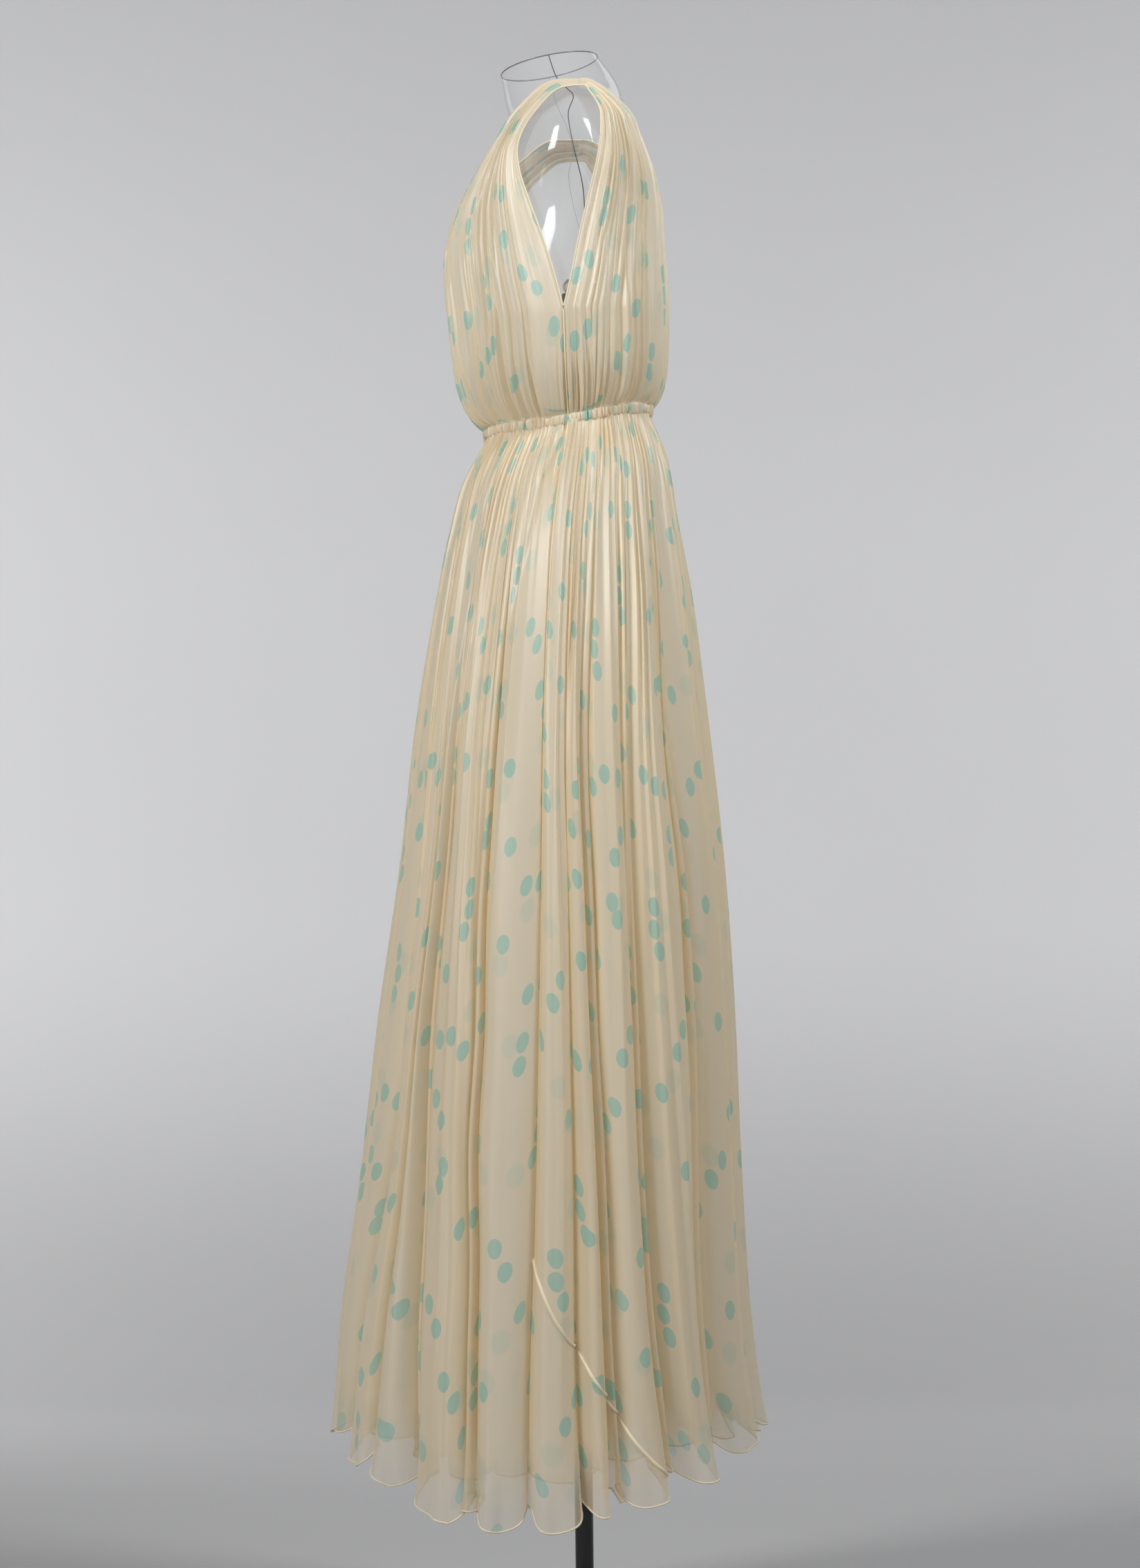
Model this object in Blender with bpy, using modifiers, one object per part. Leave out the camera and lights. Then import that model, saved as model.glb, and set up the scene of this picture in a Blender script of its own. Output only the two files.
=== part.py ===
"""Sleeveless gown of gathered, dotted silk chiffon on a clear torso form, which stands on a pole.

Metres, +Z up. The gown faces -Y and the wearer's left side is at +X. The origin is on the floor,
under the middle of the base, on the pole's axis.
"""

import bisect
import math
from collections import namedtuple

import bmesh
import bpy
import numpy as np
from mathutils import Vector

SEAM_GAP = 0.0003
CLOTH = 0.0014
MERGE = 0.00005

# The waist line is an ellipse that rises to the back and droops at the sides.
WAIST_FRONT = -0.1045
WAIST_BACK = 0.0955
WAIST_HALF = 0.122
WAIST_SIDE = (WAIST_FRONT + WAIST_BACK) / 2
WAIST_FRONT_Z = 1.4650
WAIST_RISE = 0.180
WAIST_DROOP = 0.018
CASING_TALL = 0.011
CASING_THICK = 0.0022
CASING_COLUMNS = 56
CASING_PROUD = 0.0006
CASING_SWELL = 0.0004
CASING_CRINKLE = 0.0005

# The hem hangs lower at the sides, where the cloth is cut on the bias, and at each fold's crest.
HEM_Z = 0.278
HEM_DROOP = 0.096
HEM_SCALLOP = 0.028

# Each skirt panel: large folds at the hem, each made of columns that are fine gathers at the waist.
FOLD_COLUMNS = 7
GATHER_DEPTH = 0.0011
GATHER_FADE = 0.10
SKIRT_ROWS = (0.0, 0.035, 0.10, 0.20, 0.35, 0.52, 0.70, 0.86, 1.0)

# The pieced corner of the back panel, in shares of the panel's width and height.
GORE_WIDTH = 0.215
GORE_TOP = 0.777
GORE_TIP = 0.985
GORE_GAP = 0.0026
GORE_ROWS = (0.0, 0.5, 1.0)
GORE_ABOVE = 0.70

BODICE_COLUMNS = 24
BODICE_ROWS = (0.0, 0.07, 0.17, 0.29, 0.40, 0.50, 0.62, 0.74, 0.85, 0.94, 0.985, 1.0)
BODICE_GATHER = 0.0009
BODICE_FOLDS = 6
BODICE_FOLD = 0.0040
BODICE_STEP = 0.01
ARMHOLE_ROW = 0.29
FRONT_NECK_ROW = 0.50
BACK_NECK_ROW = 0.62

FORM_WALL = 0.0025
FORM_COLUMNS = 14

POLE_RADIUS = 0.011
POLE_TOP = 1.642
BALL_RADIUS = 0.0098
BASE_RADIUS = 0.190
BASE_THICK = 0.006
BASE_EDGE = 0.0015
SOCKET_RADIUS = 0.019
SOCKET_TOP = 0.055
SOCKET_FLOOR = 0.015
SOCKET_FOOT = 0.004
ROUND_STEPS = 40
BRACKET_WIDE = 0.016
BRACKET_LOW = 1.609
BRACKET_HIGH = 1.655
BRACKET_BACK = 0.0915

# Skirt sections, at shares of the way from waist to hem: outer front, outer back, outer half width,
# place of the side seam from front to back, depth of the large folds, depth of the folds of half
# that width.
Skirt = namedtuple("Skirt", "at front back half side fold small")
SKIRT = (
    Skirt(0.00, WAIST_FRONT, WAIST_BACK, WAIST_HALF, WAIST_SIDE, 0.0000, 0.0000),
    Skirt(0.042, -0.1327, 0.1230, 0.150, -0.0150, 0.0015, 0.0020),
    Skirt(0.10, -0.1525, 0.1370, 0.176, -0.0250, 0.0030, 0.0042),
    Skirt(0.18, -0.1727, 0.1515, 0.200, -0.0320, 0.0050, 0.0050),
    Skirt(0.29, -0.1951, 0.1658, 0.222, -0.0382, 0.0080, 0.0055),
    Skirt(0.43, -0.2151, 0.1813, 0.242, -0.0420, 0.0130, 0.0050),
    Skirt(0.59, -0.2446, 0.1919, 0.262, -0.0475, 0.0190, 0.0040),
    Skirt(0.76, -0.2697, 0.1985, 0.280, -0.0545, 0.0250, 0.0020),
    Skirt(0.87, -0.2900, 0.2050, 0.294, -0.0610, 0.0300, 0.0008),
    Skirt(1.00, -0.3030, 0.2200, 0.308, -0.0660, 0.0350, 0.0000),
)

# The valleys between the large folds, from the left side seam to the right one: their place in
# shares of the panel at the hem and high up, and how deep the fold after each one is.
Valley = namedtuple("Valley", "hem high depth")
FRONT_VALLEYS = (
    Valley(0.000, 0.000, 1.05),
    Valley(0.100, 0.138, 1.10),
    Valley(0.205, 0.243, 0.80),
    Valley(0.300, 0.305, 0.85),
    Valley(0.395, 0.362, 1.00),
    Valley(0.470, 0.450, 1.10),
    Valley(0.560, 0.555, 0.90),
    Valley(0.650, 0.640, 1.15),
    Valley(0.750, 0.720, 1.00),
    Valley(0.830, 0.805, 0.85),
    Valley(0.915, 0.895, 1.05),
    Valley(1.000, 1.000, 1.00),
)
BACK_VALLEYS = (
    Valley(0.000, 0.000, 0.95),
    Valley(0.078, 0.050, 0.60),
    Valley(0.138, 0.092, 0.95),
    Valley(0.221, 0.168, 1.15),
    Valley(0.318, 0.295, 1.00),
    Valley(0.423, 0.410, 0.90),
    Valley(0.520, 0.515, 1.10),
    Valley(0.615, 0.605, 0.95),
    Valley(0.700, 0.700, 1.10),
    Valley(0.790, 0.810, 0.85),
    Valley(0.890, 0.905, 1.05),
    Valley(1.000, 1.000, 1.00),
)

# Bodice sections from waist to shoulder: the side seam or armhole edge, the centre or neck edge,
# and how far the section between them swells from a straight line (0) to a quarter ellipse (1).
Bodice = namedtuple("Bodice", "at side_x side_y side_z mid_x mid_y mid_z swell")
BODICE_FRONT = (
    Bodice(0.00, 0.122, -0.0045, 1.4710, 0.000, -0.1045, 1.4710, 1.0),
    Bodice(0.07, 0.140, -0.0055, 1.4860, 0.000, -0.1240, 1.4960, 1.0),
    Bodice(0.17, 0.154, -0.0070, 1.5200, 0.000, -0.1395, 1.5420, 1.0),
    Bodice(0.29, 0.159, -0.0088, 1.5938, 0.000, -0.1475, 1.5980, 1.0),
    Bodice(0.40, 0.158, -0.0200, 1.6386, 0.000, -0.1530, 1.6620, 1.0),
    Bodice(0.50, 0.156, -0.0310, 1.6760, 0.000, -0.1520, 1.6960, 1.0),
    Bodice(0.60, 0.153, -0.0480, 1.7250, 0.022, -0.1390, 1.7350, 1.0),
    Bodice(0.70, 0.147, -0.0610, 1.7700, 0.046, -0.1150, 1.7760, 1.0),
    Bodice(0.80, 0.142, -0.0600, 1.8060, 0.066, -0.0900, 1.8130, 0.9),
    Bodice(0.88, 0.145, -0.0413, 1.8380, 0.081, -0.0650, 1.8510, 0.7),
    Bodice(0.94, 0.151, -0.0140, 1.8640, 0.093, -0.0270, 1.8840, 0.4),
    Bodice(0.985, 0.154, 0.0080, 1.8680, 0.097, 0.0060, 1.8870, 0.2),
    Bodice(1.00, 0.154, 0.0133, 1.8680, 0.097, 0.0133, 1.8870, 0.2),
)
BODICE_BACK = (
    Bodice(0.00, 0.122, -0.0045, 1.4710, 0.000, 0.0955, 1.5070, 1.0),
    Bodice(0.07, 0.140, -0.0055, 1.4860, 0.000, 0.1090, 1.5240, 1.0),
    Bodice(0.17, 0.154, -0.0070, 1.5200, 0.000, 0.1170, 1.5560, 1.0),
    Bodice(0.29, 0.159, -0.0088, 1.5938, 0.000, 0.1200, 1.6100, 1.0),
    Bodice(0.40, 0.158, 0.0010, 1.6340, 0.000, 0.1180, 1.6600, 1.0),
    Bodice(0.50, 0.158, 0.0105, 1.6800, 0.000, 0.1160, 1.7000, 1.0),
    Bodice(0.62, 0.162, 0.0240, 1.7350, 0.000, 0.1135, 1.7400, 1.0),
    Bodice(0.72, 0.168, 0.0350, 1.7800, 0.028, 0.1085, 1.7800, 1.0),
    Bodice(0.81, 0.169, 0.0388, 1.8150, 0.050, 0.0990, 1.8150, 1.0),
    Bodice(0.88, 0.165, 0.0373, 1.8380, 0.070, 0.0875, 1.8440, 0.9),
    Bodice(0.94, 0.158, 0.0270, 1.8585, 0.088, 0.0530, 1.8755, 0.6),
    Bodice(0.985, 0.154, 0.0190, 1.8680, 0.097, 0.0200, 1.8870, 0.2),
    Bodice(1.00, 0.154, 0.0133, 1.8680, 0.097, 0.0133, 1.8870, 0.2),
)

# Sections of the torso form: height at the side seam, front, back, half width, place of the side
# seam from front to back, rise to the back, and the power of the section's curve (2 is an ellipse).
Form = namedtuple("Form", "z front back half side rise power")
FORM = (
    Form(1.2150, -0.0990, 0.1080, 0.158, 0.0045, 0.00, 2.1),
    Form(1.3000, -0.1010, 0.1100, 0.162, 0.0045, 0.00, 2.1),
    Form(1.3900, -0.0950, 0.0960, 0.138, 0.0005, 0.06, 2.0),
    Form(1.4800, -0.0930, 0.0830, 0.110, -0.0020, 0.10, 2.0),
    Form(1.5600, -0.1020, 0.0900, 0.122, 0.0060, 0.06, 2.1),
    Form(1.6300, -0.1240, 0.0970, 0.138, 0.0160, 0.00, 2.0),
    Form(1.6850, -0.1380, 0.0990, 0.146, 0.0176, 0.00, 2.0),
    Form(1.7400, -0.1180, 0.0990, 0.154, 0.0165, 0.00, 2.1),
    Form(1.7900, -0.0880, 0.0980, 0.163, 0.0055, 0.00, 2.2),
    Form(1.8300, -0.0700, 0.0910, 0.159, -0.0004, 0.02, 2.0),
    Form(1.8550, -0.0720, 0.0800, 0.146, 0.0060, 0.05, 1.4),
    Form(1.8770, -0.0750, 0.0690, 0.100, -0.0015, 0.10, 1.5),
    Form(1.8985, -0.0785, 0.0590, 0.071, -0.0141, 0.16, 1.9),
    Form(1.9310, -0.0833, 0.0370, 0.055, -0.0240, 0.19, 2.0),
)

CREAM = (0.80, 0.70, 0.52)
PEACH = (0.80, 0.62, 0.44)


def along(table, key, column, at):
    """Reads a column of a table between its rows, on a smooth curve through them."""
    places = [getattr(row, key) for row in table]
    values = [getattr(row, column) for row in table]
    slopes = np.gradient(values, places)
    i = min(max(bisect.bisect_right(places, at) - 1, 0), len(places) - 2)
    span = places[i + 1] - places[i]
    t = (at - places[i]) / span
    start = (1 + 2 * t) * (1 - t) ** 2 * values[i] + t * (1 - t) ** 2 * span * slopes[i]
    end = t * t * (3 - 2 * t) * values[i + 1] + t * t * (t - 1) * span * slopes[i + 1]
    return start + end


def edge(table, column, at, corner):
    """Reads a column that turns a corner at one row, such as the point of a V."""
    if at <= corner:
        return along([row for row in table if row.at <= corner], "at", column, at)
    return along([row for row in table if row.at >= corner], "at", column, at)


def waist_z(x, y):
    """Height of the waist line over a place on its ellipse."""
    return WAIST_FRONT_Z + WAIST_RISE * (y - WAIST_FRONT) - WAIST_DROOP * (x / WAIST_HALF) ** 2


def material(name, color, roughness, metallic=0.0, alpha=1.0):
    made = bpy.data.materials.new(name)
    made.use_nodes = True
    shader = made.node_tree.nodes["Principled BSDF"]
    shader.inputs["Base Color"].default_value = (*color, 1.0)
    shader.inputs["Roughness"].default_value = roughness
    shader.inputs["Metallic"].default_value = metallic
    shader.inputs["Alpha"].default_value = alpha
    return made


def add_object(name, mesh, finish, collection):
    made = bpy.data.objects.new(name, mesh)
    made.data.materials.append(finish)
    collection.objects.link(made)
    return made


def sheet_object(name, rows, finish, collection, closed=False, outward=True):
    """One surface through rows of points, with its faces turned outward."""
    made = bmesh.new()
    lines = [[made.verts.new(point) for point in row] for row in rows]
    columns = len(rows[0])
    for low, high in zip(lines, lines[1:]):
        for j in range(columns if closed else columns - 1):
            k = (j + 1) % columns
            corners = (low[j], low[k], high[k], high[j])
            made.faces.new(corners if outward else corners[::-1])
    mesh = bpy.data.meshes.new(name)
    made.to_mesh(mesh)
    made.free()
    mesh.shade_smooth()
    return add_object(name, mesh, finish, collection)


def add_wall(made, thickness):
    """Gives a surface its wall, on the inner side."""
    wall = made.modifiers.new("wall", "SOLIDIFY")
    wall.thickness = thickness
    wall.offset = -1.0


def add_mirror(made):
    half = made.modifiers.new("both sides", "MIRROR")
    half.use_axis = (True, False, False)
    half.merge_threshold = MERGE


def fold_place(valleys, column, t):
    """The share of the panel that a column lies at: the folds differ in width."""
    fold = min(column // FOLD_COLUMNS, len(valleys) - 2)
    part = column / FOLD_COLUMNS - fold
    start, end = (
        valley.high + (valley.hem - valley.high) * t for valley in valleys[fold:fold + 2]
    )
    return start + (end - start) * part


def fold_offset(valleys, column, columns, t):
    """How far the folded wall lies inside the skirt's outer line at one column."""
    inner = min(max(column, 1), columns - 1)
    turn = math.pi * inner / FOLD_COLUMNS
    large = 1 - abs(math.sin(turn))
    small = 1 - abs(math.sin(2 * turn))
    depth = valleys[inner // FOLD_COLUMNS].depth
    if inner % FOLD_COLUMNS == 0:
        depth = (depth + valleys[inner // FOLD_COLUMNS - 1].depth) / 2
    gather = GATHER_DEPTH * math.exp(-t / GATHER_FADE) * (-1) ** min(inner, columns - inner)
    if column in (0, columns):
        gather = 0.0
    fold = along(SKIRT, "at", "fold", t) * depth * large
    return fold + along(SKIRT, "at", "small", t) * small + gather


def skirt_at_row(side, valleys, column, t):
    """A point of the skirt. side is -1 in front and +1 behind; columns run from left to right."""
    columns = FOLD_COLUMNS * (len(valleys) - 1)
    angle = math.pi * fold_place(valleys, column, t)
    front, back, half, middle = (
        along(SKIRT, "at", name, t) for name in ("front", "back", "half", "side")
    )
    inset = fold_offset(valleys, column, columns, t)
    deep = middle - front if side < 0 else back - middle
    x = (half - inset) * math.cos(angle)
    y = middle + side * (deep - inset) * math.sin(angle)
    top_x = WAIST_HALF * math.cos(angle)
    top_y = WAIST_SIDE + side * (WAIST_BACK - WAIST_SIDE) * math.sin(angle)
    top = waist_z(top_x, top_y) - CASING_TALL / 2 - 2 * SEAM_GAP
    crest = abs(math.sin(math.pi * column / FOLD_COLUMNS))
    hem = HEM_Z - HEM_DROOP * math.cos(angle) ** 2 - HEM_SCALLOP * crest
    parting = side * SEAM_GAP / 2 if column in (0, columns) else 0.0
    return (x, y + parting, top + (hem - top) * t)


def skirt_point(side, valleys, column, t):
    """A point on the flat facets between the skirt's rows, so that pieces agree along a seam."""
    i = min(max(bisect.bisect_right(SKIRT_ROWS, t) - 1, 0), len(SKIRT_ROWS) - 2)
    low, high = SKIRT_ROWS[i], SKIRT_ROWS[i + 1]
    start = Vector(skirt_at_row(side, valleys, column, low))
    end = Vector(skirt_at_row(side, valleys, column, high))
    return start.lerp(end, (t - low) / (high - low))


def gore_seam(column):
    """Height share of the slanting seam of the back panel's pieced corners, at one column."""
    place = fold_place(BACK_VALLEYS, column, 1.0)
    near = min(place, 1 - place)
    return min(1.0, GORE_TOP + (1 - GORE_TOP) * near / GORE_WIDTH)


def build_skirt(finish, collection):
    columns = FOLD_COLUMNS * (len(FRONT_VALLEYS) - 1)
    front = []
    for t in SKIRT_ROWS:
        front.append([skirt_point(-1, FRONT_VALLEYS, j, t) for j in range(columns + 1)])
    add_wall(sheet_object("skirt_front", front, finish, collection, outward=True), CLOTH)
    columns = FOLD_COLUMNS * (len(BACK_VALLEYS) - 1)
    drop = GORE_GAP / (WAIST_FRONT_Z - HEM_Z)
    back = []
    for t in SKIRT_ROWS:
        row = []
        for j in range(columns + 1):
            end = gore_seam(j)
            end -= drop / 2 if end < 1 else 0.0
            beyond = max(t - GORE_ABOVE, 0.0) / (1 - GORE_ABOVE)
            at = min(t, GORE_ABOVE) + beyond * (end - GORE_ABOVE)
            row.append(skirt_point(1, BACK_VALLEYS, j, at))
        back.append(row)
    add_wall(sheet_object("skirt_back", back, finish, collection, outward=False), CLOTH)
    half = range(columns // 2)
    left = [j for j in half if gore_seam(j) < GORE_TIP]
    right = [columns - j for j in half if gore_seam(columns - j) < GORE_TIP]
    for name, places in (("skirt_gore_left", left), ("skirt_gore_right", right)):
        gore = []
        for part in GORE_ROWS:
            row = []
            for j in places:
                start = gore_seam(j) + drop / 2
                row.append(skirt_point(1, BACK_VALLEYS, j, start + (1 - start) * part))
            gore.append(row)
        outward = places == right
        add_wall(sheet_object(name, gore, finish, collection, outward=outward), CLOTH)


def bodice_surface(table, side, neck_row, share, v):
    """A place on the smooth left half of a bodice panel. side is -1 in front and +1 behind."""
    turn = share * math.pi / 2
    swell = along(table, "at", "swell", v)
    across = (1 - swell) * (1 - share) + swell * math.cos(turn)
    ahead = (1 - swell) * share + swell * math.sin(turn)
    side_x, side_y, side_z = (edge(table, "side_" + axis, v, ARMHOLE_ROW) for axis in "xyz")
    mid_x, mid_y, mid_z = (edge(table, "mid_" + axis, v, neck_row) for axis in "xyz")
    x = mid_x + (side_x - mid_x) * across
    y = side_y + (mid_y - side_y) * ahead
    z = side_z + (mid_z - side_z) * share
    waist = waist_z(WAIST_HALF * math.cos(turn), side_y + (mid_y - side_y) * math.sin(turn))
    straight = table[0].side_z + (table[0].mid_z - table[0].side_z) * share
    z += (waist + CASING_TALL / 2 + 3 * SEAM_GAP - straight) * (1 - v) ** 3
    return Vector((x, y, z))


def bodice_point(table, side, neck_row, column, v):
    """A point of the gathered wall, on the smooth panel or moved out from it."""
    share = column / BODICE_COLUMNS
    point = bodice_surface(table, side, neck_row, share, v)
    at_seam = column == 0 and v <= ARMHOLE_ROW or v == 1.0
    if at_seam:
        point.y += side * SEAM_GAP / 2
    if column < 2 or column == BODICE_COLUMNS:
        return point
    low = max(v - BODICE_STEP, 0.0)
    high = min(v + BODICE_STEP, 1.0)
    across = bodice_surface(table, side, neck_row, share - BODICE_STEP, v)
    across -= bodice_surface(table, side, neck_row, share + BODICE_STEP, v)
    up = bodice_surface(table, side, neck_row, share, high)
    up -= bodice_surface(table, side, neck_row, share, low)
    outward = across.cross(up).normalized() * -side
    if v == 1.0:
        outward.y = 0.0
    valley = 1 - abs(math.cos(math.pi * BODICE_FOLDS * share))
    fold = BODICE_FOLD * math.sin(math.pi * v) * valley
    return point + outward * (BODICE_GATHER * (-1) ** column - fold)


def build_bodice(name, table, side, neck_row, finish, collection):
    rows = []
    for v in BODICE_ROWS:
        rows.append([bodice_point(table, side, neck_row, j, v) for j in range(BODICE_COLUMNS + 1)])
    made = sheet_object(name, rows, finish, collection, outward=side > 0)
    add_mirror(made)
    add_wall(made, CLOTH)


def build_casing(finish, collection):
    rows = []
    for part in (-0.5, 0.0, 0.5):
        row = []
        for j in range(CASING_COLUMNS):
            angle = 2 * math.pi * j / CASING_COLUMNS
            out = CASING_PROUD + CASING_CRINKLE * (-1) ** j + (CASING_SWELL if part == 0.0 else 0.0)
            x = (WAIST_HALF + out) * math.cos(angle)
            y = WAIST_SIDE + (WAIST_BACK - WAIST_SIDE + out) * math.sin(angle)
            z = waist_z(x * WAIST_HALF / (WAIST_HALF + out), y) + part * CASING_TALL
            row.append((x, y, z))
        rows.append(row)
    made = sheet_object("waist_casing", rows, finish, collection, closed=True)
    add_wall(made, CASING_THICK)


def build_form(name, side, finish, collection):
    """One moulded half of the torso. side is -1 in front and +1 behind."""
    rows = []
    for section in FORM:
        row = []
        deep = section.side - section.front if side < 0 else section.back - section.side
        for j in range(FORM_COLUMNS + 1):
            angle = math.pi * j / FORM_COLUMNS
            across, ahead = math.cos(angle), math.sin(angle)
            reach = abs(across) ** section.power + abs(ahead) ** section.power
            size = reach ** (-1 / section.power)
            y = side * (deep * size * ahead + (SEAM_GAP / 2 if j in (0, FORM_COLUMNS) else 0.0))
            row.append((section.half * size * across, section.side + y, section.z + section.rise * y))
        rows.append(row)
    add_wall(sheet_object(name, rows, finish, collection, outward=side < 0), FORM_WALL)


def build_stand(black, chrome, clear, collection):
    outline = (
        (0.0, SOCKET_FLOOR),
        (POLE_RADIUS + SEAM_GAP, SOCKET_FLOOR),
        (POLE_RADIUS + SEAM_GAP, SOCKET_TOP),
        (SOCKET_RADIUS, SOCKET_TOP),
        (SOCKET_RADIUS, BASE_THICK + SOCKET_FOOT),
        (SOCKET_RADIUS + SOCKET_FOOT, BASE_THICK),
        (BASE_RADIUS - BASE_EDGE, BASE_THICK),
        (BASE_RADIUS, BASE_THICK - BASE_EDGE),
        (BASE_RADIUS, 0.0),
        (0.0, 0.0),
    )
    profile = bmesh.new()
    points = [profile.verts.new((radius, 0.0, z)) for radius, z in outline]
    for a, b in zip(points, points[1:]):
        profile.edges.new((a, b))
    mesh = bpy.data.meshes.new("stand_base")
    profile.to_mesh(mesh)
    profile.free()
    base = add_object("stand_base", mesh, black, collection)
    turn = base.modifiers.new("turned", "SCREW")
    turn.steps = ROUND_STEPS
    turn.render_steps = ROUND_STEPS
    turn.use_merge_vertices = True
    turn.merge_threshold = MERGE
    turn.use_smooth_shade = False

    low = SOCKET_FLOOR + SEAM_GAP
    made = bmesh.new()
    bmesh.ops.create_cone(
        made,
        cap_ends=True,
        segments=28,
        radius1=POLE_RADIUS,
        radius2=POLE_RADIUS,
        depth=POLE_TOP - low,
    )
    mesh = bpy.data.meshes.new("stand_pole")
    made.to_mesh(mesh)
    made.free()
    pole = add_object("stand_pole", mesh, black, collection)
    pole.location = (0.0, 0.0, (POLE_TOP + low) / 2)

    made = bmesh.new()
    bmesh.ops.create_uvsphere(made, u_segments=20, v_segments=12, radius=BALL_RADIUS)
    mesh = bpy.data.meshes.new("stand_finial")
    made.to_mesh(mesh)
    made.free()
    mesh.shade_smooth()
    ball = add_object("stand_finial", mesh, chrome, collection)
    ball.location = (0.0, 0.0, POLE_TOP + BALL_RADIUS + SEAM_GAP)

    near = POLE_RADIUS + SEAM_GAP
    made = bmesh.new()
    bmesh.ops.create_cube(made, size=1.0)
    sides = (BRACKET_WIDE, BRACKET_BACK - near, BRACKET_HIGH - BRACKET_LOW)
    bmesh.ops.scale(made, vec=sides, verts=made.verts)
    mesh = bpy.data.meshes.new("form_bracket")
    made.to_mesh(mesh)
    made.free()
    bracket = add_object("form_bracket", mesh, clear, collection)
    bracket.location = (0.0, (BRACKET_BACK + near) / 2, (BRACKET_HIGH + BRACKET_LOW) / 2)


def main():
    for old in list(bpy.data.objects):
        bpy.data.objects.remove(old, do_unlink=True)
    gown = bpy.data.collections.new("gown_on_form")
    bpy.context.scene.collection.children.link(gown)
    chiffon = material("chiffon", CREAM, 0.55)
    casing = material("casing", PEACH, 0.60)
    clear = material("clear_plastic", (0.86, 0.87, 0.88), 0.08, alpha=0.25)
    black = material("black_paint", (0.015, 0.015, 0.016), 0.35)
    chrome = material("chrome", (0.85, 0.85, 0.86), 0.06, metallic=1.0)
    build_skirt(chiffon, gown)
    build_bodice("bodice_front", BODICE_FRONT, -1, FRONT_NECK_ROW, chiffon, gown)
    build_bodice("bodice_back", BODICE_BACK, 1, BACK_NECK_ROW, chiffon, gown)
    build_casing(casing, gown)
    build_form("form_front", -1, clear, gown)
    build_form("form_back", 1, clear, gown)
    build_stand(black, chrome, clear, gown)


main()
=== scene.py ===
"""Looks of the gathered, dotted chiffon gown on its clear torso form and pole stand.

Metres, +Z up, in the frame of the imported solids. The gown faces -Y and its left side is at +X.
"""

import math

import bmesh
import bpy
import numpy as np
from mathutils import Matrix, Vector


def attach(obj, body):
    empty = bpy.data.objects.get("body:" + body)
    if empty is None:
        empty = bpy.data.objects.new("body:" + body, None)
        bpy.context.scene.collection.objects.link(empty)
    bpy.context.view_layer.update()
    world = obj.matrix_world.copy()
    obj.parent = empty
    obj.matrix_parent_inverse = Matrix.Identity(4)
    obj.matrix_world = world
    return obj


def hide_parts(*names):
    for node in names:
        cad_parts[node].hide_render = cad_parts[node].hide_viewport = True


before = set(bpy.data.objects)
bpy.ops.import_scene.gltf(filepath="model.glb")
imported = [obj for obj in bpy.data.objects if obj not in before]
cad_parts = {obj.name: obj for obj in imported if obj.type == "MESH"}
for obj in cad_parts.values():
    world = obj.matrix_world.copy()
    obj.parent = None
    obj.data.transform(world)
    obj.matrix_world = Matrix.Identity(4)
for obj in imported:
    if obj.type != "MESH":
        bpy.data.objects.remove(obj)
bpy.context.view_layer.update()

# The garment's own sizes, as in the solids.
SEAM_GAP = 0.0003
WAIST_FRONT = -0.1045
WAIST_BACK = 0.0955
WAIST_HALF = 0.122
WAIST_SIDE = (WAIST_FRONT + WAIST_BACK) / 2
WAIST_DEEP = (WAIST_BACK - WAIST_FRONT) / 2
WAIST_FRONT_Z = 1.4650
WAIST_RISE = 0.180
WAIST_DROOP = 0.018
CASING_TALL = 0.011
HEM_Z = 0.278
HEM_DROOP = 0.096
HEM_SCALLOP = 0.028
GORE_WIDTH = 0.215
GORE_TOP = 0.777
ARMHOLE_ROW = 0.29
FRONT_NECK_ROW = 0.50
BACK_NECK_ROW = 0.62
# How far the waist line dips at the back, and how far the gathered edges run behind the casing.
WAIST_BACK_DIP = 0.008
TUCK = 0.004

# Skirt sections at shares of the way from waist to hem: outer front, back, half width, side seam.
SKIRT_AT = (0.00, 0.042, 0.10, 0.18, 0.29, 0.43, 0.59, 0.76, 0.87, 1.00)
SKIRT_FRONT = (WAIST_FRONT, -.1327, -.1525, -.1727, -.1951, -.2151, -.2446, -.2697, -.2900, -.3030)
SKIRT_BACK = (WAIST_BACK, .1160, .1295, .1460, .1620, .1795, .1919, .1985, .2050, .2200)
SKIRT_HALF = (WAIST_HALF, .150, .176, .200, .222, .242, .262, .280, .294, .308)
SKIRT_SIDE = (WAIST_SIDE, -.0150, -.0250, -.0320, -.0382, -.0420, -.0475, -.0545, -.0610, -.0660)

# The deep valleys between the skirt's tubes: how deep each is, then the share of the panel at
# which it lies, at these shares of the way down. The first is also its share of the cloth. Both
# panels run from the left seam to the right.
VALLEY_AT = (0, .36, .46, .58, .68, .79, 1.0)
# The side seams stay at the panel's ends.
LEFT_SEAM = (.90, (0.0,) * len(VALLEY_AT))
RIGHT_SEAM = (.90, (1.0,) * len(VALLEY_AT))
FRONT_VALLEYS = (
    LEFT_SEAM,
    (1.10, (.118, .133, .139, .129, .132, .116, .100)),
    (1.15, (.222, .241, .245, .246, .239, .228, .203)),
    (.45, (.285, .272, .276, .276, .274, .282, .300)),
    (1.05, (.375, .354, .340, .328, .326, .352, .396)),
    (.90, (.462, .450, .446, .440, .444, .458, .472)),
    (1.10, (.556, .555, .548, .552, .560, .566, .560)),
    (.80, (.645, .640, .634, .640, .652, .655, .650)),
    (1.15, (.735, .724, .728, .738, .742, .745, .750)),
    (.75, (.818, .803, .806, .815, .818, .822, .830)),
    (1.05, (.904, .890, .886, .896, .906, .908, .915)),
    RIGHT_SEAM,
)
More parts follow.
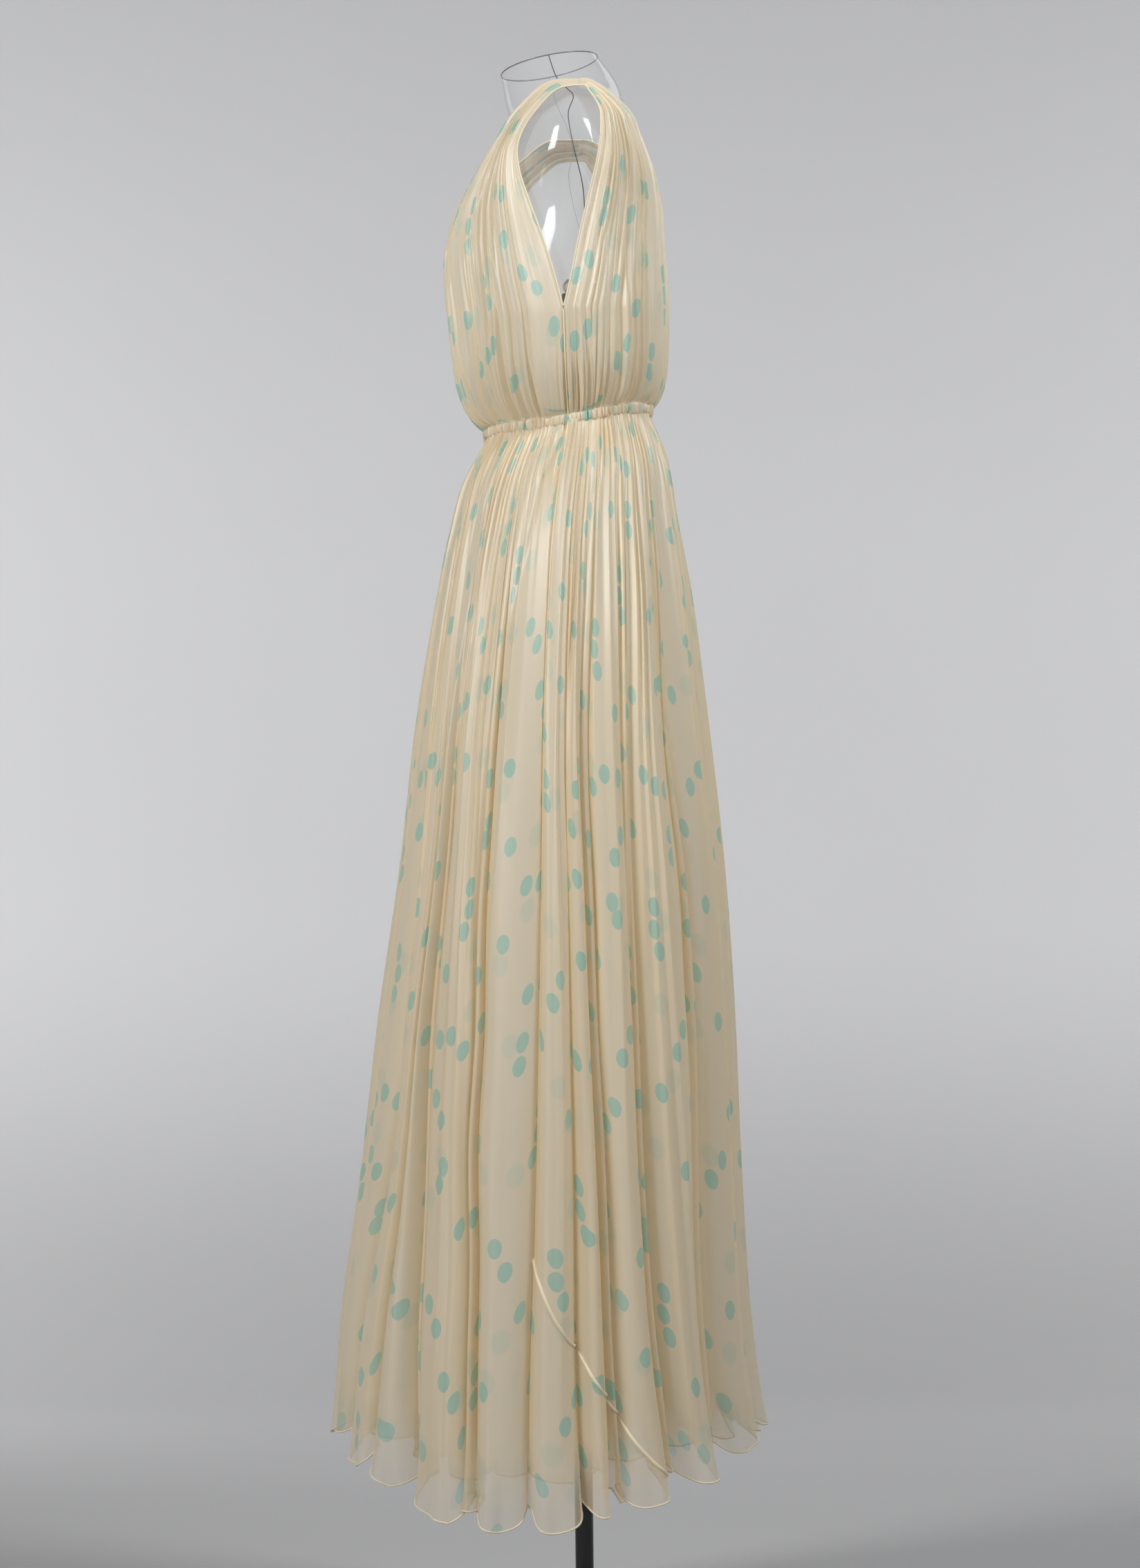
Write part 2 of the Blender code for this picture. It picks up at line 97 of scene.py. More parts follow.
BACK_VALLEYS = (
    LEFT_SEAM,
    (.85, (.062, .046, .050, .056, .062, .068, .080)),
    (1.05, (.112, .080, .088, .096, .108, .119, .136)),
    (1.10, (.190, .165, .165, .171, .177, .189, .221)),
    (1.15, (.302, .279, .297, .308, .315, .313, .318)),
    (.80, (.414, .408, .410, .412, .415, .420, .423)),
    (1.10, (.516, .512, .516, .522, .526, .524, .520)),
    (.75, (.610, .603, .600, .606, .612, .618, .615)),
    (1.15, (.703, .698, .706, .712, .708, .700, .700)),
    (1.00, (.797, .812, .806, .800, .796, .792, .790)),
    (.85, (.894, .908, .904, .900, .894, .890, .890)),
    RIGHT_SEAM,
)
# Each tube: how boxy it is (0 round, 1 boxy), how far it leans over, how its face tilts.
FRONT_TUBES = (
    (.25, .15, .25), (.9, -.20, -.30), (.05, .05, .20), (.6, .18, -.28),
    (.2, -.15, .25), (1.0, .10, -.20), (.3, -.20, .30), (.8, .20, -.25),
    (.1, -.10, .25), (.9, .15, -.22), (.4, -.18, .25),
)
BACK_TUBES = (
    (.3, -.15, -.20), (.1, .10, -.20), (.6, -.15, .28), (.15, .20, -.30),
    (.7, -.15, .25), (.2, .12, -.25), (.9, -.18, .22), (.3, .20, -.28),
    (.8, -.10, .26), (.15, .15, -.24), (.5, -.15, .22),
)
# A narrow rib of cloth stands in some of the valleys: width as a share of the panel, height. It
# takes up this share of the cloth on each side of the valley.
RIB_CLOTH = .011
FRONT_RIBS = (
    None, (.017, .55), (.013, .40), None, (.020, .50), (.014, .65),
    (.018, .35), (.013, .60), (.020, .45), (.012, .60), (.018, .50), None,
)
BACK_RIBS = (
    None, None, (.016, .50), (.018, .55), (.022, .45), (.014, .60),
    (.018, .40), (.013, .62), (.020, .50), (.014, .45), (.017, .60), None,
)
# How many points each skirt panel has across, and its steps down, at these shares of the way.
SKIRT_COLUMNS = 1180
SKIRT_ROW_AT = (0, .02, .06, .15, .5, .9, .98, 1.0)
SKIRT_ROW_STEP = (.0034, .0044, .0075, .0125, .019, .016, .006, .005)
# Flat width of each skirt panel at the waist and at the hem, as the print is laid on it.
SKIRT_CUT = (.98, 1.72)
# Where the boxy tubes begin to get their steep walls, and how long that takes on the way down.
BOX_FROM, BOX_OVER = .06, .40
TUBE_SAMPLES = 121
# How deep the valleys lie inside the skirt's outer line.
TUBE_AT = (0, .05, .10, .20, .35, .50, .65, .80, 1.0)
TUBE_DEEP = (0, .0010, .0028, .008, .016, .024, .032, .040, .048)

# Pleats between the tubes' valleys and fine gathers at the waist: number and height of their ridges.
SKIRT_PLEATS = 50
SKIRT_GATHERS = 56
PLEAT_AT = (0, .02, .05, .10, .18, .30, .45, .65, .85, 1.0)
PLEAT_HIGH = (.0005, .0040, .0066, .0086, .0098, .0098, .0092, .0084, .0074, .0060)
GATHER_AT = (0, .012, .03, .06, .10, .16, .30, 1.0)
GATHER_HIGH = (.0026, .0080, .0088, .0076, .0056, .0036, .0014, 0)
# Where the front panel's lapping pleat ends beside the side seam, in shares of the panel.
LAP_AT = (0, .06, .18, .30, 1.0)
LAP_WIDE = (0, .052, .088, .110, .120)

# Bodice sections from waist to shoulder: side seam or armhole edge, centre or neck edge, swell.
BODICE_FRONT = (
    (.00, .122, -.0045, 1.4710, .000, -.1045, 1.4710, 1.0),
    (.07, .133, -.0055, 1.4920, .000, -.1240, 1.4960, 1.0),
    (.17, .148, -.0070, 1.5270, .000, -.1395, 1.5420, 1.0),
    (.29, .159, -.0088, 1.5938, .000, -.1475, 1.5980, 1.0),
    (.40, .158, -.0200, 1.6386, .000, -.1530, 1.6620, 1.0),
    (.50, .156, -.0310, 1.6760, .000, -.1520, 1.6960, 1.0),
    (.60, .153, -.0480, 1.7250, .022, -.1390, 1.7350, 1.0),
    (.70, .147, -.0610, 1.7700, .046, -.1150, 1.7760, 1.0),
    (.80, .142, -.0600, 1.8060, .066, -.0900, 1.8130, .9),
    (.88, .145, -.0413, 1.8380, .081, -.0650, 1.8510, .7),
    (.94, .151, -.0140, 1.8640, .093, -.0270, 1.8840, .4),
    (.985, .154, .0080, 1.8680, .097, .0060, 1.8870, .2),
    (1.00, .154, .0133, 1.8680, .097, .0133, 1.8870, .2),
)
BODICE_BACK = (
    (.00, .122, -.0045, 1.4710, .000, .0955, 1.5070, 1.0),
    (.07, .133, -.0055, 1.4920, .000, .1090, 1.5240, 1.0),
    (.17, .148, -.0070, 1.5270, .000, .1170, 1.5560, 1.0),
    (.29, .159, -.0088, 1.5938, .000, .1200, 1.6100, 1.0),
    (.40, .158, .0010, 1.6340, .000, .1180, 1.6600, 1.0),
    (.50, .158, .0105, 1.6800, .000, .1160, 1.7000, 1.0),
    (.62, .162, .0240, 1.7350, .000, .1135, 1.7400, 1.0),
    (.72, .168, .0350, 1.7800, .028, .1040, 1.7800, 1.0),
    (.81, .169, .0388, 1.8150, .050, .0880, 1.8150, 1.0),
    (.88, .165, .0373, 1.8380, .070, .0745, 1.8440, .9),
    (.94, .158, .0270, 1.8585, .088, .0430, 1.8755, .6),
    (.985, .154, .0190, 1.8680, .097, .0200, 1.8870, .2),
    (1.00, .154, .0133, 1.8680, .097, .0133, 1.8870, .2),
)

# Bodice folds from waist to shoulder: number and height of the ridges of each kind.
BODICE_COLUMNS = 300
BODICE_ROW_AT = (0, .03, .12, .5, .85, 1.0)
BODICE_ROW_STEP = (.004, .006, .0095, .012, .008, .006)
BROAD_FOLDS, FINE_FOLDS, WAIST_GATHERS, SHOULDER_GATHERS = 22, 48, 42, 56
BROAD_FOLD_AT = (0, .04, .15, .35, .6, .85, .95, 1)
BROAD_FOLD_HIGH = (.001, .0050, .0080, .0096, .0096, .0080, .0064, .0050)
FINE_FOLD_AT = (0, .04, .12, .3, .6, .85, .95, 1)
FINE_FOLD_HIGH = (.001, .0036, .0042, .0040, .0038, .0040, .0042, .0036)
WAIST_GATHER_AT = (0, .02, .06, .14, .25, .5, 1)
WAIST_GATHER_HIGH = (.0022, .0100, .0126, .0118, .0092, .0058, .0030)
SHOULDER_GATHER_AT = (0, .5, .75, .9, 1)
SHOULDER_GATHER_HIGH = (0, .0020, .0042, .0052, .0040)
# Reach of a fold that runs the whole length of its panel.
WHOLE = (9, 10)
# The right strap lies this much lower and narrower on its shoulder than the left one.
STRAP_DROP = .020
STRAP_NARROW = .022

# How folds wander sideways: reach in shares of the cloth, waves across it, turns from end to end.
PLEAT_WANDER = (.006, 3.3, .9)
BROAD_WANDER = (.012, 2.3, .7)
FINE_WANDER = (.009, 3.1, 1.1)
WAIST_WANDER = (.010, 4.0, .8)

# How strongly gathers and pleats paint a warm glow into the recesses and shade into the troughs of
# the skirt, on its way down, and of the bodice, on its way up.
GATHER_GLOW = ((0, .03, .20), (.6, .6, 0))
GATHER_TROUGH_SHADE = ((0, .015, .06, .18), (.9, .9, .7, 0))
PLEAT_TROUGH_SHADE = ((0, .03, .3, .7, 1.0), (0, .6, .6, .4, .2))
WAIST_GLOW = ((0, .15, .5), (.9, .8, .3))
WAIST_TROUGH_SHADE = ((0, .1, .3, .6), (1.0, .9, .6, .2))

# Seeds of the tubes' droop and of the casing's crinkles.
DROOP_SEED, CASING_SEED = 41, 31

# The cloth lies this far inside its outer line, so that its folds stand about that line.
SKIRT_INSET = .0008
BODICE_INSET = .0010
# The lapping pleat's rim, how far the cloth sinks beyond it, and how far the back panel sinks.
LAP_RIM = .0032
LAP_SINK = .0055
UNDER_SINK = .0045
# How far the cloth flutters out and in at the hem, and from which share of the way down.
FLUTTER = .0042
FLUTTER_FROM = .90

# Radii of the sewn edges and narrow seams.
ROLLED_EDGE = .0011
SIDE_SEAM = .0008
GORE_SEAM = .0023
CORD_SIDES = 8

# Sections of the torso form: height at the side seam, front, back, half width, side seam, rise,
# power of the section's curve.
FORM = (
    (1.2150, -.0990, .1080, .158, .0045, .00, 2.1),
    (1.3000, -.1010, .1100, .162, .0045, .00, 2.1),
    (1.3900, -.0950, .0960, .138, .0005, .06, 2.0),
    (1.4800, -.0930, .0830, .110, -.0020, .10, 2.0),
    (1.5600, -.1020, .0900, .122, .0060, .06, 2.1),
    (1.6300, -.1240, .0970, .138, .0160, .00, 2.0),
    (1.6850, -.1380, .0990, .146, .0176, .00, 2.0),
    (1.7400, -.1180, .0990, .154, .0165, .00, 2.1),
    (1.7900, -.0880, .0980, .163, .0055, .00, 2.2),
    (1.8300, -.0700, .0910, .159, -.0004, .02, 2.0),
    (1.8550, -.0720, .0800, .146, .0060, .05, 1.4),
    (1.8770, -.0750, .0690, .100, -.0015, .10, 1.5),
    (1.8985, -.0785, .0590, .071, -.0141, .16, 1.9),
    (1.9310, -.0833, .0370, .055, -.0240, .19, 2.0),
)

# One repeat of the dot print, in millimetres of flat cloth: the middles of its ovals.
REPEAT = (320.0, 400.0)
REPEAT_DROP = 0.38
OVAL = (7.9, 11.6)
DOTS = (
    (40, 50), (38, 76), (43, 102),
    (121, 38), (142, 42),
    (208, 68),
    (250, 122), (272, 134), (294, 120),
    (92, 150), (96, 176),
    (172, 140), (190, 161),
    (28, 192),
    (62, 256), (82, 240), (104, 228),
    (214, 212), (233, 230),
    (285, 254), (283, 280), (289, 305),
    (152, 276),
    (42, 330), (60, 350),
    (122, 350), (143, 346),
    (206, 325),
    (247, 366), (245, 388),
    (262, 36), (280, 54),
    (150, 98), (306, 196),
    (10, 288), (178, 384),
)


def unit(values):
    """Values held between 0 and 1."""
    return np.clip(values, 0, 1)


def along(places, values, at):
    """Reads values between their places, on a smooth curve through them."""
    places = np.asarray(places, float)
    values = np.asarray(values, float)
    at = np.asarray(at, float)
    slopes = np.gradient(values, places)
    i = interval(places, at)
    span = places[i + 1] - places[i]
    t = (at - places[i]) / span
    start = (1 + 2 * t) * (1 - t) ** 2 * values[i] + t * (1 - t) ** 2 * span * slopes[i]
    end = t * t * (3 - 2 * t) * values[i + 1] + t * t * (t - 1) * span * slopes[i + 1]
    return start + end


def rowwise(at, places, values):
    """Reads values between their places, in straight lines, for the rows of a grid."""
    return np.interp(at, places, values)[:, None]


def interval(places, at):
    """Number of the interval between places in which each value lies."""
    return np.clip(np.searchsorted(places, at, side="right") - 1, 0, len(places) - 2)


def edge(table, column, at, corner):
    """Reads a column that turns a corner at one row, such as the point of a V."""
    low = [row for row in table if row[0] <= corner]
    high = [row for row in table if row[0] >= corner]
    under = along([row[0] for row in low], [row[column] for row in low], np.minimum(at, corner))
    over = along([row[0] for row in high], [row[column] for row in high], np.maximum(at, corner))
    return np.where(at <= corner, under, over)


def waist_z(x, y):
    """Height of the waist line over a place on its ellipse."""
    rise = WAIST_RISE * (y - WAIST_FRONT) - WAIST_DROOP * (x / WAIST_HALF) ** 2
    behind = unit((y - WAIST_SIDE) / WAIST_DEEP)
    return WAIST_FRONT_Z + rise - WAIST_BACK_DIP * behind ** 2


def arc(points, axis):
    """Length along a grid's rows or columns, from the first one."""
    steps = np.linalg.norm(np.diff(points, axis=axis), axis=2)
    start = np.zeros_like(np.take(steps, [0], axis=axis))
    return np.concatenate([start, np.cumsum(steps, axis=axis)], axis=axis)


def link(thing):
    bpy.context.scene.collection.objects.link(thing)
    return thing


def grid_object(name, points, uv, finish, outward=True, closed=False, marks=None, keep=None):
    """One smooth surface through a grid of points, with its cloth coordinates in metres. marks are
    values at the points, and keep marks the faces that are wanted."""
    rows, columns = points.shape[:2]
    mesh = bpy.data.meshes.new(name)
    index = np.arange(rows * columns).reshape(rows, columns)
    beyond = np.roll(index, -1, axis=1) if closed else index[:, 1:]
    near = index if closed else index[:, :-1]
    quads = np.stack([near[:-1], beyond[:-1], beyond[1:], near[1:]], axis=2).reshape(-1, 4)
    if not outward:
        quads = quads[:, ::-1]
    values = {}
    for key, value in (marks or {}).items():
        values[key] = np.broadcast_to(value, (rows, columns)).reshape(-1)
    places = points.reshape(-1, 3)
    corners = None if uv is None else uv.reshape(-1, 2)
    if keep is not None:
        quads = quads[keep.reshape(-1)]
        used, flat = np.unique(quads, return_inverse=True)
        quads = flat.reshape(-1, 4)
        places = places[used]
        corners = corners[used]
        values = {key: value[used] for key, value in values.items()}
    mesh.vertices.add(len(places))
    mesh.vertices.foreach_set("co", places.reshape(-1))
    mesh.loops.add(quads.size)
    mesh.loops.foreach_set("vertex_index", quads.reshape(-1))
    mesh.polygons.add(len(quads))
    mesh.polygons.foreach_set("loop_start", np.arange(0, quads.size, 4))
    mesh.polygons.foreach_set("loop_total", np.full(len(quads), 4))
    mesh.update(calc_edges=True)
    if corners is not None:
        layer = mesh.uv_layers.new(name="cloth")
        layer.data.foreach_set("uv", corners[quads.reshape(-1)].reshape(-1))
    for key, value in values.items():
        layer = mesh.attributes.new(key, "FLOAT", "POINT")
        layer.data.foreach_set("value", value.astype(np.float32))
    mesh.shade_smooth()
    mesh.materials.append(finish)
    return link(bpy.data.objects.new(name, mesh))


def tube_object(name, line, radius, finish, closed=False):
    """A round cord along a line of points."""
    line = np.asarray(line, float)
    if closed:
        ahead = np.roll(line, -1, axis=0) - np.roll(line, 1, axis=0)
    else:
        ahead = np.gradient(line, axis=0)
    ahead /= np.linalg.norm(ahead, axis=1, keepdims=True) + 1e-12
    across = np.cross(ahead, (0.0, 0.0, 1.0))
    flat = np.linalg.norm(across, axis=1) < 0.1
    across[flat] = np.cross(ahead[flat], (1.0, 0.0, 0.0))
    across /= np.linalg.norm(across, axis=1, keepdims=True) + 1e-12
    above = np.cross(across, ahead)
    turns = 2 * np.pi * np.arange(CORD_SIDES) / CORD_SIDES
    ring = across[:, None] * np.cos(turns)[:, None] + above[:, None] * np.sin(turns)[:, None]
    points = line[:, None] + ring * radius
    if closed:
        points = np.concatenate([points, points[:1]])
    return grid_object(name, points, None, finish, closed=True)


def knots(rng, count, low, high, tail=0.0, tail_share=0.0, broad=0.25):
    """Ridges and troughs across a panel: their places, heights and how far down each one reaches.
    Broad, flat faces stand between runs of one to four narrow ridges."""
    wide, size, sharp = [], [], []
    while len(wide) < count:
        if rng.random() < broad:
            wide.append(rng.uniform(2.2, 4.6))
            size.append(rng.uniform(0.7, 1.3))
            sharp.append(rng.uniform(2.0, 4.0))
        for _ in range(rng.integers(1, 5)):
            wide.append(rng.uniform(0.45, 1.0))
            size.append(rng.uniform(0.25, 0.85))
            sharp.append(rng.uniform(0.8, 1.7))
    wide, size, sharp = (np.array(values[:count]) for values in (wide, size, sharp))
    # One flank of a ridge is steep and the other broad, so that the cloth looks folded over.
    steep = rng.uniform(0.22, 0.45, count)
    steep = np.where(rng.random(count) < 0.5, steep, 1 - steep)
    widths = np.stack([wide * steep, wide * (1 - steep)], axis=1).reshape(-1)
    places = np.concatenate([[0.0], np.cumsum(widths)]) / widths.sum()
    total = 2 * count + 1
    heights = np.zeros(total)
    heights[1::2] = size
    beside = np.minimum(np.append(size, size[-1]), np.insert(size, 0, size[0]))
    heights[0::2] = -beside * rng.uniform(0.4, 1.2, count + 1)
    reach = rng.uniform(low, high, total)
    long = rng.random(total) < tail_share
    reach = np.where(long, reach + tail * rng.random(total), reach)
    wave = rng.uniform(1.0, 3.5, total)
    start = rng.uniform(0, 2 * np.pi, total)
    return places, heights, reach, np.repeat(sharp, 2), wave, start


def packed(knot, cloth):
    """1 where the ridges are narrow and the cloth lies in many layers, 0 on broad faces."""
    places = knot[0]
    middles, wide = places[1::2], places[2::2] - places[0:-1:2]
    narrow = unit(1.6 - wide / np.median(wide))
    return np.interp(cloth, middles, narrow)


def ridges(knot, cloth, t):
    """Heights of the ridges at every row (t) and column (cloth share), in shares of the full one."""
    places, heights, reach, sharp, wave, start = knot
    cloth = np.broadcast_to(cloth, (len(t), np.shape(cloth)[-1]))
    fade = np.exp(-(t[:, None] / reach) ** 2)
    sway = 1 + 0.22 * np.sin(wave * 2 * np.pi * t[:, None] + start)
    table = heights * fade * sway
    i = interval(places, cloth)
    w = unit((cloth - places[i]) / (places[i + 1] - places[i]))
    # From each ridge the cloth stays broad, then dips into the trough.
    from_ridge = np.where(i % 2 == 1, w, 1 - w)
    bent = from_ridge ** sharp[i]
    share = np.where(i % 2 == 1, bent, 1 - bent)
    row = np.arange(len(t))[:, None]
    return (1 - share) * table[row, i] + share * table[row, i + 1]


def wander(cloth, t, reach, waves, turns):
    """Cloth shares shifted sideways a little from row to row, so that folds aren't quite straight."""
    drift = np.sin(2 * np.pi * (waves * cloth + turns * t[:, None]))
    drift = drift * np.sin(np.pi * unit(t))[:, None]
    ends = unit(np.minimum(cloth, 1 - cloth) / 0.05)
    return cloth + reach * drift * ends


def with_trough_shade(painted_glow_shade, *troughs):
    """Raises the mark to 2 in the deepest troughs, where it paints shade."""
    for depth, weight in troughs:
        trough = unit(depth) * weight
        painted_glow_shade = painted_glow_shade + trough * (2 - painted_glow_shade)
    return painted_glow_shade


def rows_from(places, steps):
    """Shares of the way along a panel at which it has a row of points: close at both ends."""
    at, rows = 0.0, [0.0]
    while at < 1.0:
        at += float(np.interp(at, places, steps))
        rows.append(min(at, 1.0))
    return np.array(rows)


def with_ribs(valleys, tubes, ribs):
    """The lines between tubes, and the tubes, with the narrow ribs set in."""
    lines, shapes = [], []
    for k, (depth, place) in enumerate(valleys):
        place = np.array(place)
        cloth = place[0]
        if ribs[k] is None:
            lines.append((cloth, depth, place))
        else:
            width, height = ribs[k]
            lines.append((cloth - RIB_CLOTH, depth, place - width / 2))
            lines.append((cloth + RIB_CLOTH, depth * 0.96, place + width / 2))
            shapes.append((0.2, 0.0, 0.0, height))
        if k < len(tubes):
            shapes.append((*tubes[k], 1.0))
    return lines, shapes


def skirt_grid(side, valleys, tubes, ribs, seed):
    """The folded cloth of one skirt panel: its points, the shares down and around at which they
    lie, and the mark that paints warm glow and shade into its recesses. side is -1 in front and +1 behind."""
    t = rows_from(SKIRT_ROW_AT, SKIRT_ROW_STEP)
    valleys, tubes = with_ribs(valleys, tubes, ribs)
    cloth_at = np.array([row[0] for row in valleys])
    valley_deep = [row[1] for row in valleys]
    places = np.stack([along(VALLEY_AT, row[2], t) for row in valleys], axis=1)
    sections = (SKIRT_FRONT, SKIRT_BACK, SKIRT_HALF, SKIRT_SIDE)
    front, back, half, middle = (along(SKIRT_AT, row, t) for row in sections)
    deep = (middle - front) if side < 0 else (back - middle)
    tube_deep = np.interp(t, TUBE_AT, TUBE_DEEP)
    count = np.maximum(np.round(np.diff(cloth_at) * SKIRT_COLUMNS), 12).astype(int)
    fine = np.linspace(0, math.pi, TUBE_SAMPLES)
    uneven = np.random.default_rng(DROOP_SEED + side)
    parts, shares = [], []
    box_share = unit((t - BOX_FROM) / BOX_OVER)
    for k, (box, lean, tilt, height) in enumerate(tubes):
        power = (2 / (2.05 + 1.5 * box * box_share))[:, None]
        cosine = np.cos(fine)
        xi = 0.5 * (1 - np.sign(cosine) * np.abs(cosine) ** power)
        # High up the tube is a shallow wave, evenly spread; the boxy ones get steep walls lower down.
        even = fine / math.pi
        xi = even + (xi - even) * (0.30 + 0.65 * box) * box_share[:, None]
        crest = np.abs(np.sin(fine)) ** power
        xi_shape = xi + lean * (xi * (1 - xi)) * crest * box_share[:, None]
        place = places[:, [k]] + (places[:, [k + 1]] - places[:, [k]]) * xi_shape
        bottom = valley_deep[k] + (valley_deep[k + 1] - valley_deep[k]) * xi
        level = bottom * (1 - crest) + (1 - height) * crest
        slant = (0.16 * abs(tilt) - tilt * (xi - 0.5)) * crest
        inset = tube_deep[:, None] * (level + slant)
        angle = math.pi * place
        x = (half[:, None] - inset) * np.cos(angle)
        y = middle[:, None] + side * (deep[:, None] - inset) * np.sin(angle)
        step = np.hypot(np.diff(x, axis=1), np.diff(y, axis=1))
        length = np.concatenate([np.zeros((len(t), 1)), np.cumsum(step, axis=1)], axis=1)
        at = np.linspace(0, 1, count[k] + 1)
        if k < len(tubes) - 1:
            at = at[:-1]
        crest = crest * height
        droop = crest * uneven.uniform(0.55, 1.35)
        parts.append(np.array([
            [np.interp(at * length[r, -1], length[r], value[r]) for r in range(len(t))]
            for value in (x, y, place, crest, droop)]))
        shares.append(cloth_at[k] + (cloth_at[k + 1] - cloth_at[k]) * at)
    x, y, place, crest, droop = np.concatenate(parts, axis=2)
    line = np.stack([x, y], axis=2)
    cloth = np.concatenate(shares)
    ahead = np.gradient(line, axis=1)
    ahead /= np.linalg.norm(ahead, axis=2, keepdims=True) + 1e-12
    outward = np.stack([ahead[..., 1], -ahead[..., 0]], axis=2) * (1 if side < 0 else -1)
    rng = np.random.default_rng(seed)
    pleats = knots(rng, SKIRT_PLEATS, 0.25, 0.9, 1.2, 0.55)
    gathers = knots(rng, SKIRT_GATHERS, 0.04, 0.11, 0.32, 0.18, broad=0.15)
    pleat = ridges(pleats, wander(cloth, t, *PLEAT_WANDER), t)
    gather = ridges(gathers, cloth, t)
    lift = rowwise(t, PLEAT_AT, PLEAT_HIGH) * pleat / 2
    lift += rowwise(t, GATHER_AT, GATHER_HIGH) * gather / 2
    # Painted warm glow in the tubes' valleys, in the pleats' troughs and where narrow ridges crowd the
    # cloth.
    painted_glow_shade = unit(1 - crest) ** 2 * box_share[:, None]
    painted_glow_shade += unit(-pleat) * 0.5 + packed(pleats, cloth) * 0.6
    painted_glow_shade += unit(-gather) * rowwise(t, *GATHER_GLOW)
    # More painted warm glow just under the casing.
    painted_glow_shade = unit(painted_glow_shade + unit(1 - t / 0.06)[:, None] * 0.5)
    # Painted shade in the deepest troughs of the gathers and pleats.
    painted_glow_shade = with_trough_shade(
        painted_glow_shade,
        (-1.5 * gather - 0.10, rowwise(t, *GATHER_TROUGH_SHADE)),
        (-1.3 * pleat - 0.30, rowwise(t, *PLEAT_TROUGH_SHADE)))
    ends = unit(np.minimum(cloth, 1 - cloth) / 0.006)
    lift *= ends
    # The front panel's last pleat laps over the side seam, and the back panel lies under it.
    near = np.minimum(place, 1 - place)
    lap = np.exp(-(t / 0.20) ** 2)[:, None]
    if side < 0:
        fold_at = rowwise(t, LAP_AT, LAP_WIDE)
        past = 1 / (1 + np.exp(-np.clip((near - fold_at) / 0.004, -30, 30)))
        rim = np.exp(-((near - fold_at - 0.008) / 0.009) ** 2)
        lift += lap * (LAP_RIM * rim - LAP_SINK * (1 - past)) * ends
        # Painted warm glow, deepening to painted shade, on the cloth sunk under the lapping pleat.
        painted_glow_shade = np.clip(painted_glow_shade + 0.6 * lap * (1 - past), 0, 2)
    else:
        lift -= UNDER_SINK * lap * np.exp(-(near / 0.03) ** 4) * ends
    flat = line + outward * (lift - SKIRT_INSET)[..., None]
    angle = math.pi * place
    top_x = WAIST_HALF * np.cos(angle)
    top_y = WAIST_SIDE + side * WAIST_DEEP * np.sin(angle)
    top = waist_z(top_x, top_y) - CASING_TALL / 2 - 2 * SEAM_GAP
    hem = HEM_Z - HEM_DROOP * np.cos(angle) ** 2 - HEM_SCALLOP * np.clip(droop, 0, 1.4)
    z = top + (hem - top) * t[:, None]
    z[0] += TUCK
    # Near its edge the cloth flutters: here it flicks out, there it curls in.
    flutter = np.sin(61 * place + 0.7 * side) + 0.8 * np.sin(149 * place + 1.9)
    flick = unit((t - FLUTTER_FROM) / (1 - FLUTTER_FROM)) ** 2
    flat += outward * (FLUTTER * flutter * flick[:, None] * ends)[..., None]
    flat[:, 0, 1] = middle + side * SEAM_GAP / 2
    flat[:, -1, 1] = middle + side * SEAM_GAP / 2
    return np.concatenate([flat, z[..., None]], axis=2), t, place, painted_glow_shade


def cloth_uv(points, offset):
    """Places on a skirt panel's flat cut in metres. Its sides open like a fan."""
    across = arc(points, 1)
    down = arc(points, 0).mean(axis=1)[:, None]
    length = down[-1, 0]
    fan = (SKIRT_CUT[1] - SKIRT_CUT[0]) / length
    start = SKIRT_CUT[0] / fan
    even = across[int(0.6 * len(across))]
    turn = (even / even[-1] - 0.5) * fan
    reach = start + down
    return np.stack([reach * np.sin(turn) + offset[0], offset[1] - reach * np.cos(turn)], axis=2)


def bodice_surface(table, neck_row, share, v):
    """Places on the smooth left half of a bodice panel."""
    v, share = np.broadcast_arrays(np.asarray(v, float), np.asarray(share, float))
    turn = share * math.pi / 2
    swell = along([row[0] for row in table], [row[7] for row in table], v)
    across = (1 - swell) * (1 - share) + swell * np.cos(turn)
    ahead = (1 - swell) * share + swell * np.sin(turn)
    side_x, side_y, side_z = (edge(table, c, v, ARMHOLE_ROW) for c in (1, 2, 3))
    mid_x, mid_y, mid_z = (edge(table, c, v, neck_row) for c in (4, 5, 6))
    x = mid_x + (side_x - mid_x) * across
    y = side_y + (mid_y - side_y) * ahead
    z = side_z + (mid_z - side_z) * share
    waist = waist_z(WAIST_HALF * np.cos(turn), side_y + (mid_y - side_y) * np.sin(turn))
    straight = table[0][3] + (table[0][6] - table[0][3]) * share
    z = z + (waist + CASING_TALL / 2 + 3 * SEAM_GAP - straight) * (1 - v) ** 3
    return np.stack([x, y, z], axis=-1)


